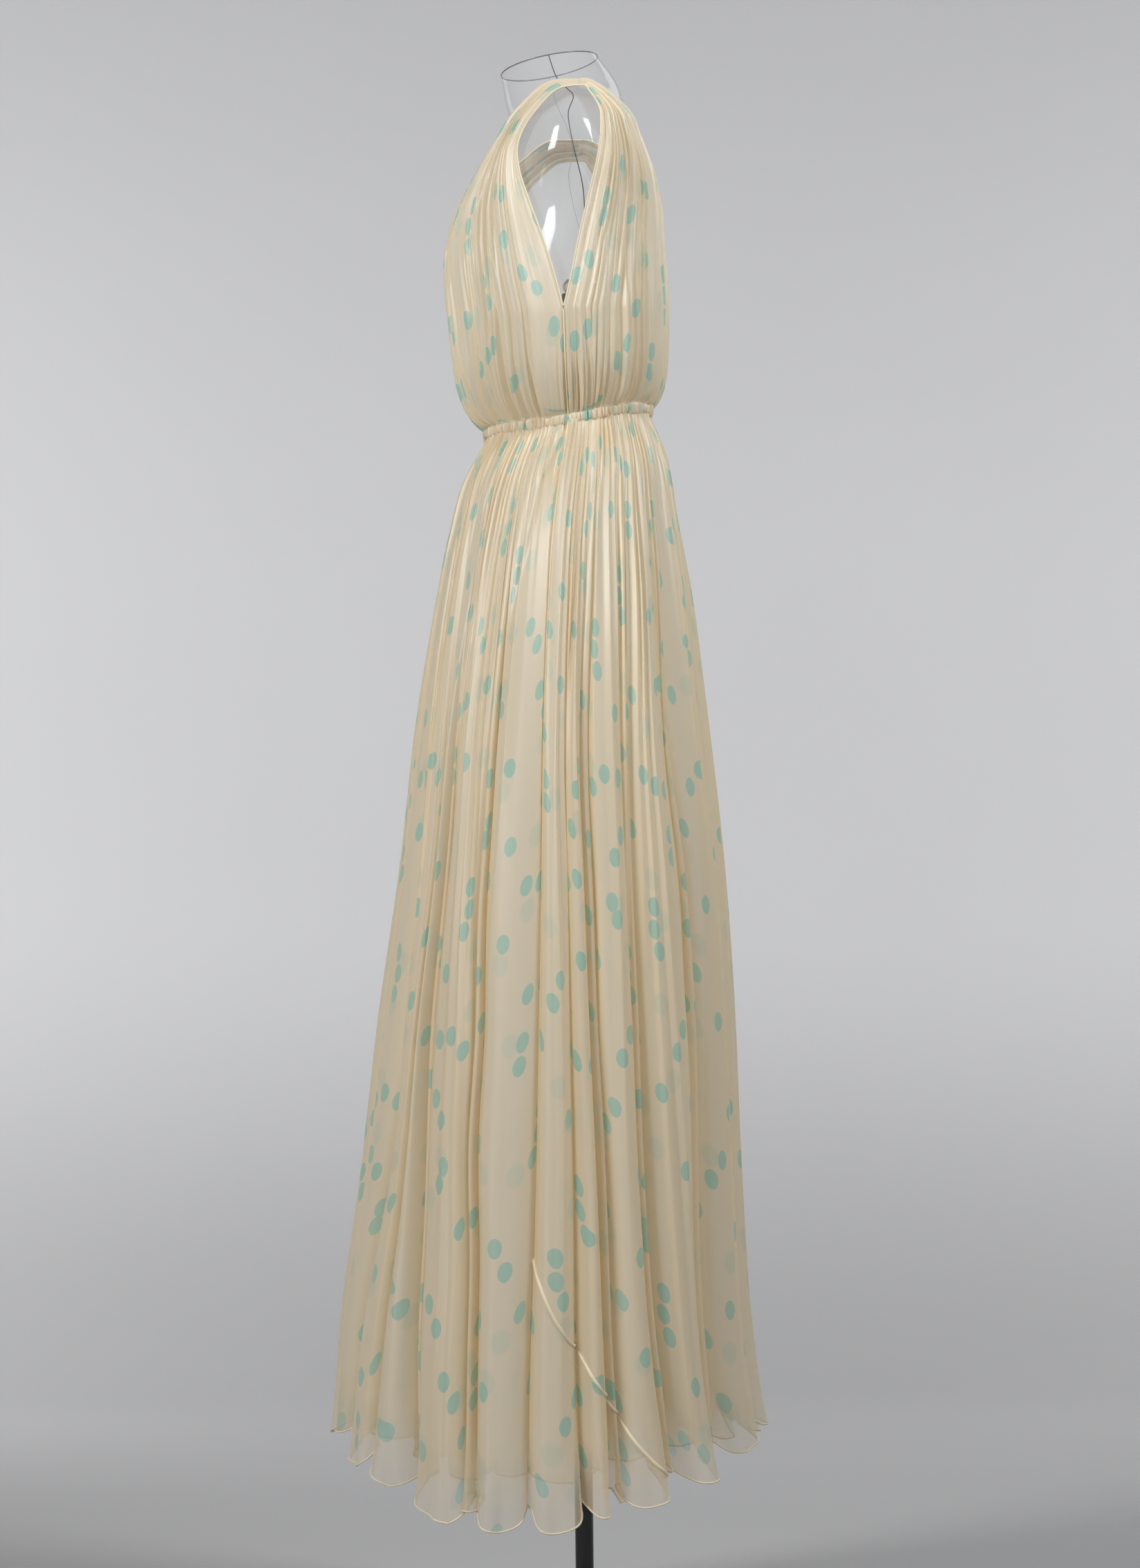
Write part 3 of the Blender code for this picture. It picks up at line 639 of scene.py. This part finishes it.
def bodice_half(table, side, neck_row, mirror, knot_sets):
    """One half of a bodice panel, from side seam or armhole to centre or neck edge: its points,
    the shares of the way up at which they lie, and the mark that paints warm glow and shade into
    its recesses. side is -1 in front and +1 behind, and mirror is 1 on the left and -1 on the right."""
    v = rows_from(BODICE_ROW_AT, BODICE_ROW_STEP)
    share = np.linspace(0, 1, BODICE_COLUMNS)

    def surface(across, up):
        """The smooth panel a little to one side of its points, and a little above them."""
        beside, above = unit(share + across), unit(v + up)[:, None]
        return bodice_surface(table, neck_row, beside, above)

    step = 0.01
    base = surface(0, 0)
    wide = surface(-step, 0) - surface(step, 0)
    tall = surface(0, step) - surface(0, -step)
    outward = np.cross(wide, tall) * -side
    outward /= np.linalg.norm(outward, axis=2, keepdims=True) + 1e-12
    signed = share / 2 if mirror > 0 else 1 - share / 2
    pleats, folds, low_gathers, high_gathers = knot_sets
    full = np.zeros_like(v)
    pleat = ridges(pleats, wander(signed, v, *BROAD_WANDER), full)
    fold = ridges(folds, wander(signed, v, *FINE_WANDER), full)
    low = ridges(low_gathers, wander(signed, v, *WAIST_WANDER), v)
    # The mark paints a warm glow where folds crowd the cloth and in their troughs, and more just above the
    # casing.
    dense = np.maximum(packed(pleats, signed) * 0.5, packed(folds, signed) * 0.4)
    painted_glow_shade = unit(-pleat) * 0.6 + unit(-fold) * 0.4 + dense
    painted_glow_shade += unit(-low) * rowwise(v, *WAIST_GLOW)
    painted_glow_shade = 0.85 * unit(painted_glow_shade + unit(1 - v / 0.12)[:, None] * 0.3)
    # Painted shade in the deepest troughs of the folds.
    painted_glow_shade = with_trough_shade(
        painted_glow_shade,
        (-1.5 * low - 0.10, rowwise(v, *WAIST_TROUGH_SHADE)),
        (-1.3 * pleat - 0.35, 0.5),
        (-1.3 * fold - 0.40, 0.4))
    lift = rowwise(v, BROAD_FOLD_AT, BROAD_FOLD_HIGH) * pleat
    lift += rowwise(v, FINE_FOLD_AT, FINE_FOLD_HIGH) * fold
    lift += rowwise(v, WAIST_GATHER_AT, WAIST_GATHER_HIGH) * low
    lift += rowwise(v, SHOULDER_GATHER_AT, SHOULDER_GATHER_HIGH) * ridges(high_gathers, signed, 1 - v)
    # The folds fade towards the armhole's edge, but run on right to the side seam below it.
    armhole = unit(share / 0.05) * (0.40 + 0.60 * unit((share - 0.05) / 0.12))
    above = unit((v - 0.16) / (ARMHOLE_ROW - 0.16))[:, None]
    armhole = above * armhole + (1 - above) * unit(share / 0.012)
    neck = np.where(v[:, None] > neck_row, unit((1 - share) / 0.05), 1.0)
    lift *= armhole * neck / 2
    points = base + outward * (lift - BODICE_INSET)[..., None]
    if mirror < 0:
        high_up = unit((v[:, None] - 0.6) / 0.3)
        points[..., 2] -= STRAP_DROP * high_up
        points[..., 0] += STRAP_NARROW * high_up * share
    # The gathered edge is tucked in behind the casing.
    points[0, :, 2] -= TUCK
    seam = side * SEAM_GAP / 2
    points[-1, :, 1] = base[-1, :, 1] + seam
    at_side = v <= ARMHOLE_ROW
    points[at_side, 0, 1] = base[at_side, 0, 1] + seam
    points[:, -1, 0] = np.where(v <= neck_row, 0.0, points[:, -1, 0])
    if mirror < 0:
        points = points * np.array([-1.0, 1.0, 1.0])
    return points, v, painted_glow_shade


def join_centre(piece):
    """Joins a panel's halves along the centre line, where their points lie on each other."""
    work = bmesh.new()
    work.from_mesh(piece.data)
    centre = [vertex for vertex in work.verts if abs(vertex.co.x) < 1e-6]
    bmesh.ops.remove_doubles(work, verts=centre, dist=1e-5)
    work.to_mesh(piece.data)
    work.free()
    piece.data.shade_smooth()


def nodes_of(name):
    """A new material with nothing in its tree."""
    made = bpy.data.materials.new(name)
    made.use_nodes = True
    tree = made.node_tree
    for node in list(tree.nodes):
        tree.nodes.remove(node)
    return made, tree


def finished(made, shader):
    """The material, with its shader wired to its output."""
    tree = made.node_tree
    out = tree.nodes.new("ShaderNodeOutputMaterial")
    tree.links.new(shader, out.inputs[0])
    return made


def add(tree, kind, inputs=None, out=0, **settings):
    """A new shader node with its inputs set or linked. Gives one of its outputs."""
    node = tree.nodes.new("ShaderNode" + kind)
    for key, value in settings.items():
        setattr(node, key, value)
    for key, value in (inputs or {}).items():
        socket = node.inputs[key]
        if isinstance(value, bpy.types.NodeSocket):
            tree.links.new(value, socket)
        else:
            socket.default_value = value
    return node.outputs[out]


def calc(tree, operation, *values, clamp=False):
    inputs = dict(enumerate(values))
    return add(tree, "Math", inputs, operation=operation, use_clamp=clamp)


def scaled(tree, value, times, plus):
    return calc(tree, "MULTIPLY_ADD", value, times, plus)


def vector_node(tree, operation, *values):
    out = "Value" if operation == "DISTANCE" else 0
    return add(tree, "VectorMath", dict(enumerate(values)), out, operation=operation)


def mix_color(tree, share, low, high, blend="MIX"):
    inputs = {0: share, 6: low, 7: high}
    return add(tree, "Mix", inputs, 2, data_type="RGBA", blend_type=blend)


def noise(tree, place, scale, detail):
    return add(tree, "TexNoise", {"Vector": place, "Scale": scale, "Detail": detail})


def bumped(tree, height, strength, distance):
    return add(tree, "Bump", {"Strength": strength, "Distance": distance, "Height": height})


def shaded(tree, color, shade):
    """A colour made darker by a shade from 0 to 1."""
    grey = add(tree, "CombineColor", {0: shade, 1: shade, 2: shade})
    return mix_color(tree, 1.0, color, grey, "MULTIPLY")


def blended(tree, share, low, high):
    return add(tree, "MixShader", {0: share, 1: low, 2: high})


def object_place(tree):
    return add(tree, "TexCoord", out="Object")


def dot_mask(tree, cloth, dots, softness):
    """1 inside the print's ovals and 0 between them."""
    across, down = (add(tree, "SeparateXYZ", {0: cloth}, out) for out in (0, 1))
    wide, tall = REPEAT[0] / 1000, REPEAT[1] / 1000
    column = calc(tree, "FLOOR", calc(tree, "DIVIDE", across, wide))
    drop = calc(tree, "MULTIPLY", column, tall * REPEAT_DROP)
    u = calc(tree, "WRAP", across, wide, 0.0)
    v = calc(tree, "WRAP", calc(tree, "ADD", down, drop), tall, 0.0)
    u = calc(tree, "DIVIDE", u, OVAL[0] / 1000)
    v = calc(tree, "DIVIDE", v, OVAL[1] / 1000)
    place = add(tree, "CombineXYZ", {0: u, 1: v})
    nearest = None
    for x, y in dots:
        away = vector_node(tree, "DISTANCE", place, (x / OVAL[0], y / OVAL[1], 0.0))
        nearest = away if nearest is None else calc(tree, "MINIMUM", nearest, away)
    ragged = scaled(tree, noise(tree, cloth, 900.0, 1.0), 0.08, nearest)
    return add(tree, "MapRange", {0: ragged, 1: 1.0, 2: 1.0 + softness, 3: 1.0, 4: 0.0})


CREAM = (0.880, 0.828, 0.718, 1.0)
# A painted warm glow for the recesses of the folds.
CREAM_GLOW = (0.975, 0.832, 0.618, 1.0)
CREAM_THROUGH = (0.930, 0.803, 0.575, 1.0)
# Painted shade for the troughs of the folds, reflected and passed through.
FOLD_SHADE = (0.790, 0.610, 0.385, 1.0)
FOLD_SHADE_THROUGH = (0.740, 0.560, 0.320, 1.0)
MINT = (0.490, 0.730, 0.665, 1.0)
MINT_THROUGH = (0.490, 0.740, 0.620, 1.0)

# Share of the light that passes the cloth, and how far its weave is open, doubled and single.
THROUGH = 0.50
OPEN_SHARE = 0.10
OPEN_SINGLE = 0.46


def thread_waves(tree, cloth, scale, direction):
    """Even threads along one way of the cloth."""
    inputs = {"Vector": cloth, "Scale": scale, "Distortion": 0.6, "Detail": 1.0}
    return add(tree, "TexWave", inputs, "Fac", wave_type="BANDS", bands_direction=direction)


def chiffon_material(name):
    """Sheer printed cloth. Its marks say where it lies single, and where warm glow and shade are painted
    into its folds.
    """
    made, tree = nodes_of(name)
    cloth = add(tree, "UVMap", uv_map="cloth")
    # Weave: fine crossed threads, and slubs along both.
    warp = thread_waves(tree, cloth, 420.0, "X")
    weft = thread_waves(tree, cloth, 380.0, "Y")
    threads = calc(tree, "ADD", warp, weft)
    slub_place = vector_node(tree, "MULTIPLY", cloth, (900.0, 40.0, 1.0))
    slub = noise(tree, slub_place, 1.0, 2.0)
    mottle = noise(tree, cloth, 9.0, 3.0)
    normal = bumped(tree, scaled(tree, slub, 0.4, threads), 0.10, 0.0002)
    shade = scaled(tree, slub, 0.025, 0.970)
    shade = scaled(tree, mottle, 0.04, calc(tree, "SUBTRACT", shade, 0.01))
    # The dots of a lower fold are painted in faintly, as if they showed through the top layer.
    under = vector_node(tree, "MULTIPLY_ADD", cloth, (-0.93, 1.05, 1.0), (0.11, 0.17, 0.0))
    ghost = calc(tree, "MULTIPLY", dot_mask(tree, under, DOTS[::2], 0.5), 0.28)
    mask = calc(tree, "MAXIMUM", dot_mask(tree, cloth, DOTS, 0.09), ghost)
    painted_glow_shade = add(tree, "Attribute", out="Fac", attribute_name="painted_glow_shade")
    # From 0 to 1 the mark paints a warm glow into the cloth, standing for light passed through its layers,
    # and from 1 to 2 it paints shade into the troughs of its gathers.
    deep = calc(tree, "SUBTRACT", painted_glow_shade, 1.0, clamp=True)
    plain = mix_color(tree, deep, mix_color(tree, painted_glow_shade, CREAM, CREAM_GLOW), FOLD_SHADE)
    face = shaded(tree, mix_color(tree, mask, plain, MINT), shade)
    back = mix_color(tree, mask, mix_color(tree, deep, CREAM_THROUGH, FOLD_SHADE_THROUGH), MINT_THROUGH)
    rough = add(tree, "MapRange", {0: slub, 3: 0.28, 4: 0.39})
    body = add(tree, "BsdfPrincipled", {
        "Base Color": face, "Roughness": rough, "Normal": normal,
        "Specular IOR Level": 0.85, "Sheen Weight": 0.12, "Sheen Roughness": 0.35,
    })
    glow = add(tree, "BsdfTranslucent", {"Color": back, "Normal": normal})
    clear = add(tree, "BsdfTransparent", {"Color": (1, 1, 1, 1)})
    single = add(tree, "Attribute", out="Fac", attribute_name="single")
    hole = scaled(tree, single, OPEN_SINGLE - OPEN_SHARE, OPEN_SHARE)
    return finished(made, blended(tree, hole, blended(tree, THROUGH, body, glow), clear))


def edge_material(name, color, through_color):
    """Rolled edges and narrow seams: several layers of the same cloth, without print."""
    made, tree = nodes_of(name)
    twist = noise(tree, object_place(tree), 700.0, 2.0)
    normal = bumped(tree, twist, 0.3, 0.0003)
    face = shaded(tree, color, scaled(tree, twist, 0.14, 0.91))
    body = add(tree, "BsdfPrincipled", {
        "Base Color": face, "Roughness": 0.5, "Normal": normal, "Sheen Weight": 0.15,
    })
    glow = add(tree, "BsdfTranslucent", {"Color": through_color, "Normal": normal})
    return finished(made, blended(tree, 0.25, body, glow))


def plastic_material(name, edge_color, faint, strong):
    """Clear moulded plastic: see-through face on, with gloss and grey at grazing angles."""
    made, tree = nodes_of(name)
    normal = bumped(tree, noise(tree, object_place(tree), 14.0, 2.0), 0.25, 0.004)
    facing = add(tree, "LayerWeight", {"Blend": 0.35}, "Facing")
    graze = calc(tree, "POWER", facing, 2.2)
    tint = mix_color(tree, graze, (0.97, 0.975, 0.98, 1.0), edge_color)
    clear = add(tree, "BsdfTransparent", {"Color": tint})
    gloss = add(tree, "BsdfPrincipled", {
        "Base Color": (0.80, 0.81, 0.83, 1.0), "Metallic": 1.0, "Roughness": 0.09, "Normal": normal,
    })
    share = scaled(tree, graze, strong, faint)
    haze = add(tree, "BsdfDiffuse", {"Color": (0.80, 0.80, 0.81, 1.0)})
    return finished(made, blended(tree, share, blended(tree, 0.13, clear, haze), gloss))


def solid_material(name, color, rough, metallic=0.0, bump=0.1, coat=0.0):
    """Paint, metal or a hard dark edge, a little worn."""
    made, tree = nodes_of(name)
    place = object_place(tree)
    worn = noise(tree, place, 11.0, 4.0)
    normal = bumped(tree, noise(tree, place, 300.0, 3.0), bump, 0.0003)
    face = shaded(tree, color, scaled(tree, worn, 0.3, 0.85))
    roughness = add(tree, "MapRange", {0: worn, 3: rough * 0.8, 4: rough * 1.25})
    body = add(tree, "BsdfPrincipled", {
        "Base Color": face, "Roughness": roughness, "Metallic": metallic, "Normal": normal,
        "Coat Weight": coat,
    })
    return finished(made, body)


def paper_material(name, floor_shade_color, high_color):
    """Seamless paper, with shade painted on where it lies on the floor, so that it is darker there."""
    made, tree = nodes_of(name)
    place = object_place(tree)
    height = add(tree, "SeparateXYZ", {0: place}, 2)
    span = {0: height, 1: 0.0, 2: 1.2}
    rise = add(tree, "MapRange", span, interpolation_type="SMOOTHSTEP")
    shade = scaled(tree, noise(tree, place, 2.0, 2.0), 0.03, 0.985)
    face = shaded(tree, mix_color(tree, rise, floor_shade_color, high_color), shade)
    body = add(tree, "BsdfPrincipled", {"Base Color": face, "Roughness": 0.95})
    return finished(made, body)


def ride(piece, slot, *replaced):
    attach(piece, "root")
    if replaced:
        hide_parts(*replaced)
    return piece


def sewn(name, line, radius, finish):
    """A rolled edge or a narrow seam of cloth."""
    return ride(tube_object(name, line, radius, finish), "chiffon")


chiffon = chiffon_material("chiffon_print")
rolled = edge_material("rolled_edge", (0.86, 0.78, 0.60, 1.0), (0.86, 0.76, 0.50, 1.0))
seam_cloth = edge_material("seam_cloth", (0.93, 0.83, 0.62, 1.0), (0.92, 0.80, 0.52, 1.0))
clear_shell = plastic_material("clear_shell", (0.74, 0.745, 0.76, 1.0), 0.035, 0.12)
# The form's neck rim is painted dark grey: painted shade for how a clear plastic edge looks seen edge-on.
painted_dark_rim = solid_material("painted_dark_rim", (0.16, 0.165, 0.17, 1.0), 0.15)
seam_dark = solid_material("seam_dark", (0.06, 0.06, 0.065, 1.0), 0.3)
black_paint = solid_material("black_paint", (0.012, 0.012, 0.013, 1.0), 0.34, bump=0.15, coat=0.1)
chrome = solid_material("chrome", (0.80, 0.80, 0.81, 1.0), 0.06, metallic=1.0, bump=0.01)


# Skirt panels. The back one ends at the slanting seams of its two gores.
front_grid, rows_t, _, front_glow_shade = skirt_grid(-1, FRONT_VALLEYS, FRONT_TUBES, FRONT_RIBS, seed=11)
back_grid, rows_t, back_place, back_glow_shade = skirt_grid(1, BACK_VALLEYS, BACK_TUBES, BACK_RIBS, seed=23)
# Near the hem nothing lies behind the cloth, so it is sheerer there.
SHEER_FROM, SHEER_OVER = 0.935, 0.05
single = unit((rows_t - SHEER_FROM) / SHEER_OVER)[:, None]
front_uv = cloth_uv(front_grid, (0.12, 0.0))
back_uv = cloth_uv(back_grid, (0.05, 0.13))
front_marks = {"single": single, "painted_glow_shade": front_glow_shade}
front_skirt = grid_object("skirt_front_cloth", front_grid, front_uv, chiffon, marks=front_marks)
near = np.minimum(back_place, 1 - back_place)
seam_t = np.minimum(1, GORE_TOP + (1 - GORE_TOP) * near[-1] / GORE_WIDTH)
below = (rows_t[:-1, None] + rows_t[1:, None]) / 2 > (seam_t[:-1] + seam_t[1:]) / 2
to_left = np.arange(back_grid.shape[1] - 1) < back_grid.shape[1] // 2
back_marks = {"single": single, "painted_glow_shade": back_glow_shade}
on_left = np.arange(len(seam_t)) < len(seam_t) / 2
for word, part, seam_side in (
        ("back", ~below, None),
        ("gore_left", below & to_left, on_left),
        ("gore_right", below & ~to_left, ~on_left)):
    made = grid_object(
        f"skirt_{word}_cloth", back_grid, back_uv, chiffon, outward=False, marks=back_marks, keep=part)
    ride(made, "chiffon", f"skirt_{word}")
    if seam_side is not None:
        columns = np.flatnonzero((seam_t < 1) & seam_side)[::2]
        line = [[np.interp(seam_t[c], rows_t, back_grid[:, c, axis]) for axis in range(3)] for c in columns]
        sewn(f"skirt_{word}_seam", line, GORE_SEAM, seam_cloth)
for word, column, outside in (("left", 0, 1), ("right", -1, -1)):
    line = front_grid[:, column] + np.array([SIDE_SEAM * outside, 0.0, 0.0])
    sewn(f"skirt_{word}_side_seam", line, SIDE_SEAM, seam_cloth)
ride(front_skirt, "chiffon", "skirt_front")
front_hem = sewn("skirt_front_hem", front_grid[-1], ROLLED_EDGE, rolled)
back_hem = sewn("skirt_back_hem", back_grid[-1], ROLLED_EDGE, rolled)

# Bodice panels: both halves of each are built alike, then joined along the centre below the V.
for name, table, side, neck_row, seed in (
        ("bodice_front", BODICE_FRONT, -1, FRONT_NECK_ROW, 5),
        ("bodice_back", BODICE_BACK, 1, BACK_NECK_ROW, 9)):
    rng = np.random.default_rng(seed)
    sets = (
        knots(rng, BROAD_FOLDS, *WHOLE, broad=0.5),
        knots(rng, FINE_FOLDS, *WHOLE),
        knots(rng, WAIST_GATHERS, 0.12, 0.42, 0.5, 0.3, broad=0.10),
        knots(rng, SHOULDER_GATHERS, 0.25, 0.8),
    )
    halves, places, glow_shades = [], [], []
    for word, mirror in (("left", 1), ("right", -1)):
        points, v, painted_glow_shade = bodice_half(table, side, neck_row, mirror, sets)
        across = arc(points, 1)
        down = arc(points, 0).mean(axis=1)[:, None]
        # Where the gathers draw the cloth together, its dots are drawn together too.
        drawn = (across[:, -1].max() / across[:, [-1]]) ** 0.6
        sideways = mirror * (across[:, [-1]] - across) * drawn
        place = np.stack(np.broadcast_arrays(sideways + 0.1 + 0.2 * side, 0.07 * side - down), axis=2)
        halves.append(points[:, ::mirror])
        places.append(place[:, ::mirror])
        glow_shades.append(painted_glow_shade[:, ::mirror])
        if side < 0:
            under_arm = points[v <= ARMHOLE_ROW, 0] + np.array([0.0012 * mirror, 0.0, 0.0])
            sewn(f"bodice_{word}_side_seam", under_arm, SIDE_SEAM, seam_cloth)
        armhole = points[v >= ARMHOLE_ROW, 0]
        neck = points[v >= neck_row, -1]
        sewn(f"{name}_{word}_armhole_edge", armhole, ROLLED_EDGE, rolled)
        sewn(f"{name}_{word}_neck_edge", neck, ROLLED_EDGE, rolled)
    keep = np.ones((len(v) - 1, 2 * BODICE_COLUMNS - 1), bool)
    keep[:, BODICE_COLUMNS - 1] = False
    points, place, painted_glow_shade = (np.concatenate(both, axis=1) for both in (halves, places, glow_shades))
    marks = {"single": 0.0, "painted_glow_shade": painted_glow_shade}
    piece = grid_object(
        f"{name}_cloth", points, place, chiffon, outward=side < 0, marks=marks, keep=keep)
    join_centre(piece)
    ride(piece, "chiffon", name)

# Waist casing: a flat crinkled tube of cloth, smoother beside the side seams.
CASING_OUT = 0.0008
CASING_THICK = 0.0013
CASING_CRINKLE = 0.0056
CASING_UNEVEN = 0.40
CASING_FOLDS, CASING_WAVES = 112, 60
CASING_COLUMNS, CASING_ROUND = 2400, 24
turn = np.linspace(0, 2 * math.pi, CASING_COLUMNS + 1)[:-1]
round_it = np.linspace(0, 2 * math.pi, CASING_ROUND + 1)[:-1]
rng = np.random.default_rng(CASING_SEED)
casing_share = turn / (2 * math.pi)
from_seam = ((turn + math.pi / 2) % math.pi) - math.pi / 2
smooth_side = 1 - 0.55 * np.exp(-(from_seam / 0.42) ** 2)
wave = ridges(knots(rng, CASING_FOLDS, *WHOLE, broad=0.02), casing_share, np.zeros(1))[0] * smooth_side
uneven = ridges(knots(rng, CASING_WAVES, *WHOLE), casing_share, np.zeros(1))[0] * smooth_side
tall = CASING_TALL * (1 + CASING_UNEVEN * uneven)
height = np.sign(np.sin(round_it)) * np.abs(np.sin(round_it)) ** 0.6
outer = unit(np.cos(round_it))
out = CASING_OUT + CASING_THICK * np.cos(round_it) + CASING_CRINKLE * wave[:, None] * outer
x = (WAIST_HALF + out) * np.cos(turn)[:, None]
y = WAIST_SIDE + (WAIST_DEEP + out) * np.sin(turn)[:, None]
z = waist_z(WAIST_HALF * np.cos(turn), WAIST_SIDE + WAIST_DEEP * np.sin(turn))[:, None]
z = z + 0.5 * tall[:, None] * height
casing_points = np.stack([x, y, z], axis=2)
casing_points = np.concatenate([casing_points, casing_points[:1]])
casing_along = np.linspace(0, 1.15, len(casing_points))[:, None]
casing_around = 0.5 * CASING_TALL * np.sin(round_it) + 0.105
casing_uv = np.stack(np.broadcast_arrays(casing_along, casing_around), axis=2)
# The troughs of the crinkles get painted shade.
casing_marks = {"single": 0.0, "painted_glow_shade": 2 * unit(-np.append(wave, wave[0]))[:, None]}
casing_piece = grid_object(
    "waist_casing_cloth", casing_points, casing_uv, chiffon, closed=True, marks=casing_marks)
ride(casing_piece, "waist_band", "waist_casing")

# The clear torso form: two moulded halves.
FORM_ROWS, FORM_COLUMNS = 131, 97
steps = np.arange(len(FORM))
fine_steps = np.linspace(0, len(FORM) - 1, FORM_ROWS)
form_z, form_front, form_back, form_half, form_side, form_rise, form_power = (
    along(steps, [row[c] for row in FORM], fine_steps)[:, None] for c in range(7))
for name, side in (("form_front", -1), ("form_back", 1)):
    angle = np.linspace(0, math.pi, FORM_COLUMNS)
    across, ahead = np.cos(angle), np.sin(angle)
    reach = (np.abs(across) ** form_power + np.abs(ahead) ** form_power) ** (-1 / form_power)
    deep = (form_side - form_front) if side < 0 else (form_back - form_side)
    y = side * deep * reach * ahead
    points = np.stack([form_half * reach * across, form_side + y, form_z + form_rise * y], axis=2)
    shell = grid_object(f"{name}_shell", points, None, clear_shell, outward=side < 0)
    ride(shell, "clear_plastic", name)
    if side < 0:
        form_points = points
    else:
        ring = np.concatenate([form_points[-1], points[-1, ::-1][1:-1]])
        ride(tube_object("form_neck_rim", ring, 0.0008, painted_dark_rim, closed=True), "clear_plastic")
for word, column, width in (("left", 0, 0.0006), ("right", -1, 0.00018)):
    ride(tube_object(f"form_seam_{word}", form_points[:, column], width, seam_dark), "clear_plastic")

# Stand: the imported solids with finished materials.
for node, finish in (
        ("stand_pole", black_paint), ("stand_base", black_paint),
        ("stand_finial", chrome), ("form_bracket", clear_shell)):
    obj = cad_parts[node]
    for place in obj.material_slots:
        place.material = finish

# Floor and backdrop: one round sheet of paper that curves up into a wall.
# The paper's floor colour is painted shade, darker than its wall colour.
backdrop = paper_material("backdrop_paper", (0.43, 0.43, 0.435, 1.0), (0.64, 0.64, 0.648, 1.0))
FLOOR_RADIUS, COVE_RADIUS, WALL_TOP = 4.3, 2.2, 6.5
COVE_ROWS, FLOOR_COLUMNS = 48, 192
profile = [(0.02, 0.0), (2.0, 0.0)]
for a in np.linspace(0, math.pi / 2, COVE_ROWS):
    profile.append((FLOOR_RADIUS + COVE_RADIUS * math.sin(a), COVE_RADIUS - COVE_RADIUS * math.cos(a)))
profile.append((FLOOR_RADIUS + COVE_RADIUS, WALL_TOP))
round_turn = np.linspace(0, 2 * math.pi, FLOOR_COLUMNS + 1)[:-1]
stage_points = np.array([[(r * math.cos(a), r * math.sin(a), z) for a in round_turn] for r, z in profile])
floor = grid_object("floor", stage_points, None, backdrop, outward=False, closed=True)

# Lights: name, place, what it points at, width and height, watts, colour.
LIGHTS = (
    ("key", (2.35, -1.95, 2.8), (0, 0, 1.3), (0.8, 1.3), 79, (1, 0.99, 0.97)),
    ("fill", (1.45, 1.6, 3.05), (0, 0, 1.7), (0.7, 1.0), 53, (0.96, 0.985, 1)),
    ("low", (1.9, -2.1, 0.9), (0, 0, 0.8), (0.25, 1.4), 4, (1, 1, 1)),
    ("rear", (-2.0, 1.6, 3.1), (0, 0, 1.4), (1.0, 1.4), 14, (1, 1, 1)),
    ("wall_left", (-2.9, -3.2, 2.2), (-6.3, -0.6, 1.7), (0.8, 1.8), 87, (1, 1, 1)),
    ("wall_right", (-2.9, 3.3, 2.2), (-6.3, 0.4, 1.7), (0.8, 1.8), 64, (1, 1, 1)),
)
for name, place, target, size, power, color in LIGHTS:
    light = bpy.data.lights.new(name, "AREA")
    light.shape = "RECTANGLE"
    light.size, light.size_y = size
    light.energy = power
    light.color = color
    made = link(bpy.data.objects.new(name, light))
    made.location = place
    made.rotation_mode = "QUATERNION"
    made.rotation_quaternion = (Vector(target) - Vector(place)).to_track_quat("-Z", "Y")
world = bpy.data.worlds.new("studio")
world.use_nodes = True
sky = world.node_tree.nodes["Background"]
sky.inputs[0].default_value = (0.80, 0.81, 0.83, 1.0)
sky.inputs[1].default_value = 0.25
bpy.context.scene.world = world
bpy.context.scene.view_settings.view_transform = "Standard"

# Camera: level with the knees, looking slightly up at the gown's left side. The focal length is
# for a picture 2268 pixels tall.
CAMERA_AT = (5.0, -0.00725, 0.62)
FOCAL_PIXELS = 5900
PICTURE_TALL = 2268
PITCH = math.radians(4.71)
ROLL = math.atan(0.01106)
forward = Vector((-math.cos(PITCH), 0, math.sin(PITCH)))
level = Vector((0, 1, 0))
upright = Vector((math.sin(PITCH), 0, math.cos(PITCH)))
right = level * math.cos(ROLL) - upright * math.sin(ROLL)
up = upright * math.cos(ROLL) + level * math.sin(ROLL)
camera_data = bpy.data.cameras.new("camera")
camera_data.sensor_fit = "VERTICAL"
camera_data.sensor_height = 24.0
camera_data.lens = FOCAL_PIXELS / PICTURE_TALL * camera_data.sensor_height
camera = link(bpy.data.objects.new("camera", camera_data))
camera_turn = Matrix((right, up, -forward)).transposed().to_4x4()
camera.matrix_world = Matrix.Translation(CAMERA_AT) @ camera_turn
bpy.context.scene.camera = camera
